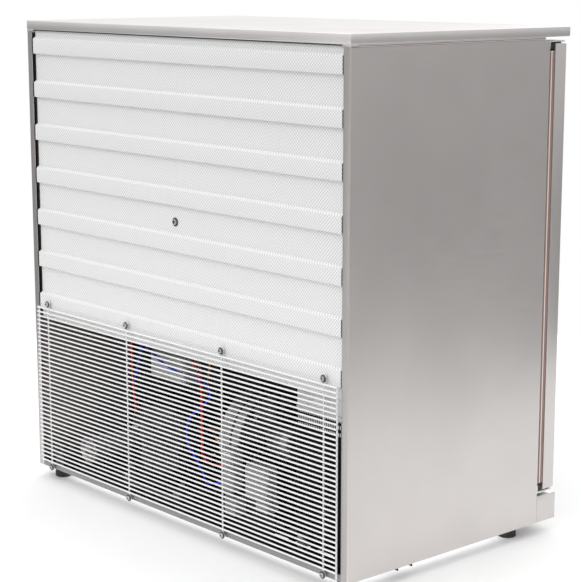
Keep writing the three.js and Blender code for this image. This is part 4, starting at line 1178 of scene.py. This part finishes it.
def build_compressor():
    """A welded dome on a plate with four mounts, with a terminal cover and three pipe stubs."""
    x, y, foot = COMPRESSOR_X, COMPRESSOR_Y, COMPRESSOR_FOOT
    shell = turned((x, y, foot), "z", [
        (0, 1), (48, 1.5), (62, 6), (70, 14), (74.4, 26), (75, 40), (75, 82), (76, 82.4), (76, 87.6),
        (75, 88), (75, 106), (73.6, 122), (70, 135), (63, 147), (53, 156.5), (40, 163), (24, 166.8),
        (10, 167.8), (0, 168)], 72)
    coat(shell, BLACK_GLOSS)
    round_edges(shell, 0.6, 2, 35)
    plate = coat(block(x - 92, x + 92, y - 58, y + 58, foot, foot + 3, 0.8), BLACK_GLOSS)
    parts = [shell, plate]
    for dx in (-80, 80):
        for dy in (-48, 48):
            parts += compressor_mount(x + dx, y + dy, foot + 3)
    parts.append(terminal_cover(x, y))
    for angle, height, reach in ((176, 150, 4), (-82, 120, 4), (200, 96, 12)):
        turn = math.radians(angle)
        way = (math.cos(turn), math.sin(turn))
        start = (x + (SHELL_RADIUS - 10) * way[0], y + (SHELL_RADIUS - 10) * way[1], height)
        end = (x + (SHELL_RADIUS + reach) * way[0], y + (SHELL_RADIUS + reach) * way[1], height)
        parts.append(coat(rod(start, end, 4.6, 20, 0.5), COPPER))
    done(welded(parts), "compressor_shell", replaced="compressor", smooth=40)
    eased("compressor_base", 0.6, ZINC)


def compressor_mount(x, y, z):
    """A rubber grommet under a hexagon bolt."""
    grommet = turned((x, y, z), "z", [
        (0, 0.2), (9, 0.2), (10, 1), (10, 4), (8.4, 5), (8.4, 7), (9.4, 8), (8.6, 10), (4, 10.4),
        (0, 10.4)], 24)
    bolt = turned((x, y, z + 10.4), "z", [
        (0, 0), (6.4, 0), (6.4, 1), (5.2, 1.2), (5.2, 4.6), (4.6, 5.2), (2.6, 5.2), (2.6, 8), (0, 8)], 6)
    return [coat(grommet, FOOT_RUBBER), coat(bolt, ZINC_PLATED)]


def terminal_cover(x, y):
    """A ribbed cover held by a strap, turned round the dome's axis."""
    cover = block(x + 58, x + 80, y - 24, y + 24, 118, 168, 3, 3)
    rib = block(x + 79.4, x + 81.2, y - 16, y - 13, 124, 162, 0.5)
    ribs = row(rib, 4, (0, 9.6, 0))
    strap = block(x + 56, x + 82, y - 25, y + 25, 141, 145, 0.6)
    housing = welded([coat(cover, BLACK_SATIN), coat(ribs, BLACK_SATIN), coat(strap, ZINC)])
    housing.data.transform(turn_about(at(x, y, 0), math.radians(TERMINAL_TURN), "z"))
    return housing


BOX_FRONT = 212.0
BOX_REAR = 241.0
WIDE_BOX = (-236, -176, 100, 164)
WIDE_BOX_FOOT = (-236, -204, 84, 102)
TALL_BOX = (-144, -112, 98, 178)
TALL_BOX_FOOT = (-150, -120, 58, 92)


def build_starter_box():
    """Two moulded boxes with narrower lower halves, on one upright bracket."""
    parts = []
    for x0, x1, z0, z1 in (WIDE_BOX, TALL_BOX):
        parts.append(block(x0, x1, BOX_FRONT, BOX_REAR, z0, z1, 7, 4))
        parts.append(block(x0 + 9, x1 - 9, BOX_REAR - 2, BOX_REAR - 0.2, z0 + 9, z1 - 9, 0.8))
    for x0, x1, z0, z1 in (WIDE_BOX_FOOT, TALL_BOX_FOOT):
        parts.append(block(x0, x1, BOX_FRONT, BOX_REAR - 2, z0, z1, 2.4, 3))
    x0, x1, z0, _ = TALL_BOX_FOOT
    rib = block(x0 + 3, x1 - 3, BOX_REAR - 2.6, BOX_REAR - 0.6, z0 + 4, z0 + 5.6, 0.4)
    parts.append(row(rib, 7, (0, 0, 5.4)))
    for x, z in ((TALL_BOX[0] + 16, 150), (WIDE_BOX[0] + 30, 152)):
        parts.append(turned((x, BOX_REAR, z), "y", [(0, 0), (2.4, 0), (3, -0.5), (3, -2), (0, -2)], 20))
    for part in parts:
        coat(part, STARTER_GREY)
    neck = coat(block(-144, -124, BOX_FRONT + 1, BOX_REAR - 6, 90, 99, 0.6), BLACK_PAINT_AND_SHADE)
    left = WIDE_BOX[0] + 10
    right = TALL_BOX[1] - 10
    bracket = coat(block(left, right, BOX_FRONT, BOX_FRONT + 2, PAN_TOP, 110, 0.4), BLACK_PAINT_AND_SHADE)
    foot = coat(block(left, right, BOX_FRONT, BOX_FRONT + 10, PAN_TOP, PAN_TOP + 2, 0.4), BLACK_PAINT_AND_SHADE)
    patch = coat(block(-139, -117, BOX_REAR - 0.4, BOX_REAR, 164, 172, 0.1), WHITE_COAT)
    done(welded([*parts, bracket, foot, neck, patch]), "starter_boxes", replaced="starter_box")


HANGER_RISE = 45.7


def build_junction_box():
    """A lidded box under the roof, on two hangers, with three cable nipples below."""
    x0, x1, y0, y1, z0, z1 = span("junction_box")
    top = z1 - HANGER_RISE
    parts = [coat(block(x0, x1, y0, y1, z0, top, 2.4, 3), BOX_GREY)]
    parts.append(coat(block(x0 + 2, x1 - 2, y1 - 1, y1 + 2, z0 + 2, top - 2, 1.2, 3), BOX_GREY))
    for x in (x0 + 8, x1 - 8):
        for z in (z0 + 8, top - 8):
            parts.append(pan_screw(x, y1 + 3.4, z, 2.6, 1.8, 4))
    for x in (x0 + 20, x1 - 40):
        parts.append(coat(block(x, x + 20, y0 + 10, y1 - 10, top - 1, z1, 0.5), ZINC))
    for x in (x0 + 20, x0 + 46, x0 + 72):
        nipple = turned((x, (y0 + y1) / 2, z0), "z", [
            (0, 1), (7, 1), (7, -3), (5.6, -4), (5.6, -10), (4.6, -11), (0, -11)], 24)
        parts.append(coat(nipple, BLACK_SATIN))
    done(welded(parts), "junction_box_finished", replaced="junction_box")


FIN_COUNT = 33
FIN_BOTTOM = 52.5
CAP_HEIGHT = 42.0
PIPE_RADIUS = 4.4
PIPE_ROWS = 4
PIPE_LEVELS = 7


def build_condenser():
    """Black fins with bright edges between two plates, on copper pipes with return bends, under a cap."""
    x0, x1, y0, y1, z0, z1 = span("condenser_coil")
    fin_top = z1 - CAP_HEIGHT
    fin = coat(block(x0 + 3, x0 + 4, y0 + 1.2, y1 - 1.2, FIN_BOTTOM, fin_top), BLACK_PAINT_AND_SHADE)
    parts = [row(fin, FIN_COUNT, ((x1 - x0 - 7) / (FIN_COUNT - 1), 0, 0))]
    for drop in (9, 21, 33):
        low = fin_top - drop
        edge = coat(block(x0 + 3, x0 + 5.2, y1 - 1.4, y1 - 0.4, low, low + 6.5, 0.2), ALUMINIUM)
        parts.append(row(edge, FIN_COUNT, ((x1 - x0 - 8.2) / (FIN_COUNT - 1), 0, 0)))
    for x in (x0, x1 - 1.4):
        plate = block(x, x + 1.4, y0, y1, FIN_BOTTOM - 2, fin_top + 1, 0.3)
        parts.append(coat(plate, RIM_BLACK))
    parts += condenser_pipes(x0, x1, y0)
    cap = block(x0, x1, y0, y1, fin_top, z1, 1.4, 3)
    lip = block(x0 - 0.4, x1 + 0.4, y1 - 0.6, y1 + 0.8, fin_top - 6, fin_top + 2, 0.4)
    parts += [coat(cap, ZINC_PALE), coat(lip, ZINC_PALE)]
    for x in (x0, x1 - 14):
        for y in (y0, y1 - 14):
            parts.append(coat(block(x, x + 14, y, y + 14, z0, FIN_BOTTOM, 0.6), ZINC))
    done(welded(parts), "condenser_finned_block", replaced="condenser_coil", smooth=40)


def condenser_pipes(x0, x1, y0):
    """Straight pipes through the fins and the bends that join them in turn at either end."""
    heights = [FIN_BOTTOM + 16 + k * 32 for k in range(PIPE_LEVELS)]
    depths = [y0 + 24 + k * 31 for k in range(PIPE_ROWS)]
    pipes = []
    for y in depths:
        for z in heights:
            pipes.append(rod((x0 - 2, y, z), (x1 + 2, y, z), PIPE_RADIUS, 14))
    for x, out, first in ((x1 + 1, 1, 0), (x0 - 1, -1, 1)):
        for y in depths:
            for low, high in list(zip(heights, heights[1:]))[first::2]:
                bend = [(x, y, low), (x + out * 9, y, low + 4.5), (x + out * 13, y, (low + high) / 2),
                        (x + out * 9, y, high - 4.5), (x, y, high)]
                pipes.append(drawn_wire(bend, PIPE_RADIUS, 1, 5))
    return [coat(pipe, COPPER) for pipe in pipes]


FAN_Y = 121.0
FAN_Z = 172.0
FAN_LEG_Y = 70.0
FAN_ARM = 87.0


def build_fan():
    build_fan_ring()
    x0 = span("fan_shroud")[0]
    shaft_end = span("fan_motor")[1] - 0.2
    can = turned((x0 - 0.3, FAN_Y, FAN_Z), "x", [
        (0, 0), (24, 0), (28, -1), (31, -4), (31, -22), (30, -23), (30, -25), (31, -26), (31, -48), (28, -52),
        (16, -55), (0, -55)], 48)
    shaft = rod((x0 - 1, FAN_Y, FAN_Z), (shaft_end, FAN_Y, FAN_Z), 4, 20, 0.5)
    motor = welded([coat(can, FAN_GREY), coat(shaft, ZINC_PLATED)])
    done(motor, "fan_motor_can", replaced="fan_motor", smooth=40)
    wheel = blade_wheel((x0 + 9, FAN_Y, FAN_Z), "x", 20, 79, 30, 5, 1.8)
    done(wheel, "fan_wheel", FAN_GREY, replaced="fan_blade", smooth=45)


def build_fan_ring():
    """A flared drum, grey outside and black inside, on a foot, with arms that carry the motor."""
    x0, x1, _, _, z0, _ = span("fan_shroud")
    length = x1 - x0
    drum = turned((x0, FAN_Y, FAN_Z), "x", [
        (86.2, 4), (86.2, length - 7), (87.2, length - 3), (88.6, length - 0.6), (89.8, length),
        (90, length - 1.2), (88.2, length - 5), (87.6, length - 8), (87.6, 6), (89.6, 4.6), (89.9, 1),
        (89.2, 0), (88, 0.6), (86.8, 2), (86.2, 4)], 96)
    bead = turned((x0 + length / 2, FAN_Y, FAN_Z), "x", [
        (87.2, -3), (88.6, -1.6), (89, 0), (88.6, 1.6), (87.2, 3), (87.2, -3)], 96)
    foot = block(x0, x1, FAN_Y - FAN_LEG_Y, FAN_Y + FAN_LEG_Y, z0, z0 + 3.4, 0.5)
    parts = [drum, bead, foot]
    for sign in (-1, 1):
        leg = FAN_Y + sign * FAN_LEG_Y
        parts.append(block(x0, x1, leg - 1, leg + 1, z0, FAN_Z - 54, 0.5))
        for x in (x0 + 12, x1 - 12):
            parts.append(rod((x, leg + sign, FAN_Z - 64), (x, leg + sign * 3.4, FAN_Z - 64), 4, 6, 0.5))
    parts.append(block(x0, x0 + 3, FAN_Y - FAN_ARM, FAN_Y + FAN_ARM, FAN_Z - 5, FAN_Z + 5, 0.8))
    parts.append(block(x0, x0 + 3, FAN_Y - 5, FAN_Y + 5, FAN_Z - FAN_ARM, FAN_Z + FAN_ARM, 0.8))
    parts.append(turned((x0, FAN_Y, FAN_Z), "x", [(5, 0), (22, 0), (22, 3), (18, 5), (5, 5), (5, 0)], 40))
    for part in parts:
        coat(part, RIM_BLACK)
    drum.data.materials.append(FAN_GREY)
    centre = at(0, FAN_Y, FAN_Z)
    for face in drum.data.polygons:
        spoke = face.center - centre
        spoke.x = 0
        if face.normal.dot(spoke) > 0 and face.center.x > (x0 + 6) * MM:
            face.material_index = 1
    done(welded(parts), "fan_ring", replaced="fan_shroud", smooth=50)


RECEIVER_X = 355.0
RECEIVER_Z = 60.0
RECEIVER_REAR = 200.0
RECEIVER_FRONT = 85.0


def build_receiver():
    """The lying liquid receiver: a drawn tank on two saddles, its end seam towards the grille."""
    x, z, near = RECEIVER_X, RECEIVER_Z, RECEIVER_REAR
    far = RECEIVER_FRONT - near
    tank = turned((x, near, z), "y", [
        (0, -6), (17, -6), (21, -4.4), (23, -1), (24, 0), (26.4, 0), (27, -1), (27, -5.2), (26.2, -6),
        (25, -6.6), (25, far + 9), (23, far + 3), (17, far + 0.6), (0, far)], 56)
    seam = turned((x, near - 36, z), "y", [
        (24, 2), (25.4, 1.2), (25.8, 0), (25.4, -1.2), (24, -2), (24, 2)], 56)
    stub = rod((x - 10, near - 6.5, z + 6), (x - 10, near - 1, z + 6), 3, 16, 0.6)
    plug = rod((x + 6, near - 6.5, z - 6), (x + 6, near - 2, z - 6), 5, 6, 0.6)
    saddles = []
    for y in (105, 176):
        saddle = block(x - 20, x + 20, y, y + 4, PAN_TOP, z, 0.8)
        bolt = rod((x + 27, y + 2, 27), (x + 27, y + 2, 32), 4, 6, 0.6)
        tab = block(x + 18, x + 34, y - 4, y + 8, PAN_TOP, PAN_TOP + 1.6, 0.4)
        saddles += [coat(saddle, ZINC), coat(tab, ZINC), coat(bolt, ZINC_PLATED)]
    vessel = [coat(tank, RECEIVER_GREY), coat(seam, RECEIVER_GREY)]
    fittings = [coat(stub, COPPER), coat(plug, ZINC_PLATED)]
    tank_piece = welded([*vessel, *fittings, *saddles])
    done(tank_piece, "liquid_receiver_tank", replaced="liquid_receiver", smooth=40)


def build_drier():
    x0, x1, y0, y1, z0, _ = span("filter_drier")
    drier = turned(((x0 + x1) / 2, (y0 + y1) / 2, z0), "z", [
        (0, 0), (3.6, 0), (4, 1), (4, 9), (6, 13), (11, 18), (12, 22), (12, 30), (11.4, 31), (11.4, 33),
        (12, 34), (12, 58), (11.4, 59), (11.4, 61), (12, 62), (12, 70), (11, 74), (6, 79), (4, 83),
        (4, 91), (3.6, 92), (0, 92)], 36)
    done(drier, "filter_drier_finished", COPPER, replaced="filter_drier", smooth=40)


def build_gland():
    """The cord's gland with its hexagon nut."""
    nut = turned((380, 241.2, 66), "y", [
        (4.4, 0), (10.6, 0), (11.6, -1), (11.6, -7), (10.6, -8), (4.4, -8), (4.4, 0)], 6)
    eased("cable_gland", 0.8, BLACK_SATIN, 2, [coat(nut, BLACK_SATIN)])


WIRE_ROOF = 326.0
CABLE_RADIUS = 2.3


def build_pipes_and_wires():
    """The copper pipes and the two wires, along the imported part's own routes."""
    cx, cy = COMPRESSOR_X, COMPRESSOR_Y
    discharge = [
        (cx - 78, cy - 10, 150), (50, cy - 14, 152), (20, cy - 6, 160), (-5, cy + 30, 165),
        (-30, cy + 51, 169), (-52, cy + 59, 165), (-64, cy + 56, 146), (-66, cy + 43, 110),
        (-67, cy + 20, 76), (-78, cy - 7, 58), (-130, cy - 14, 55), (-200, cy - 15, 58),
        (-260, cy - 17, 66)]
    suction = [
        (cx + 20, cy - 79, 120), (cx + 22, cy - 84, 128), (cx + 20, cy - 88, 150), (cx + 10, cy - 88, 220),
        (cx, cy - 86, 290), (cx - 2, cy - 84, 332)]
    red = [
        (214, cy + 52, 150), (240, cy + 30, 160), (262, cy + 18, 190), (258, cy + 24, 253),
        (240, cy + 34, 300), (190, cy + 38, WIRE_ROOF), (110, cy + 36, WIRE_ROOF), (62, cy + 38, 300),
        (31, cy + 43, 281), (11, cy + 50, 256), (3, cy + 55, 212), (-4, cy + 60, 165),
        (-30, cy + 78, 138), (-62, cy + 90, 134), (-108, cy + 92, 138)]
    blue = [
        (218, cy + 46, 140), (250, cy + 20, 150), (274, cy + 8, 184), (272, cy + 6, 215),
        (250, cy + 10, 262), (226, cy + 22, 292), (190, cy + 30, 286), (150, cy + 34, 272),
        (86, cy + 38, 262), (30, cy + 44, 262), (-8, cy + 44, 244), (11, cy + 46, 216),
        (36, cy + 55, 192), (44, cy + 57, 150), (10, cy + 62, 118), (-18, cy + 68, 98),
        (-50, cy + 88, 96), (-108, cy + 92, 108)]
    for node, route, radius, rings, finish in (
            ("discharge_pipe", discharge, 3, 3, COPPER), ("suction_pipe", suction, 4, 3, COPPER),
            ("red_wire", red, CABLE_RADIUS, 2, RED), ("blue_wire", blue, CABLE_RADIUS, 2, BLUE)):
        done(drawn_wire(route, radius, rings, 10), node + "_drawn", finish, replaced=node, smooth=60)


BAY_REAR = 244.6
BAY_FRONT = 27.2
BAY_SIDE = 448.4


def build_bay_skins():
    """Thin sheets that line the machine room over the foam: the black ones are painted shade for the dark
    room, and the right wall's brownish grey is a painted reflection.
    """
    front = block(-BAY_SIDE, BAY_SIDE, BAY_FRONT - 1, BAY_FRONT - 0.2, PAN_TOP, 333.6, 0.1)
    done(front, "bay_front_shade_sheet", BLACK_PAINT_AND_SHADE)
    roof = block(-BAY_SIDE, BAY_SIDE, BAY_FRONT, BAY_REAR, 332.9, 333.7, 0.1)
    done(roof, "bay_roof_shade_sheet", BLACK_PAINT_AND_SHADE)
    for side, sign in SIDES:
        wall = block(sign * 447.9, sign * 448.5, BAY_FRONT, 251.4, PAN_TOP, 332.6, 0.1)
        # Right wall: painted reflection; left wall: painted shade.
        done(wall, side + "_bay_painted_light_sheet", REFLECTION_TONED_WALL if sign > 0 else BLACK_PAINT_AND_SHADE)


# ---------------------------------------------------------------- assembly

set_camera()
set_studio()
build_side_panels()
build_worktop()
build_rear_panel()
build_base()
build_feet()
build_grille()
build_grille_screws()
build_plinth()
for door_side, door_sign in SIDES:
    build_door(door_side, door_sign)
build_hinges()
build_interior()
build_compressor()
build_starter_box()
build_junction_box()
build_condenser()
build_fan()
build_drier()
build_receiver()
build_gland()
build_pipes_and_wires()
build_bay_skins()
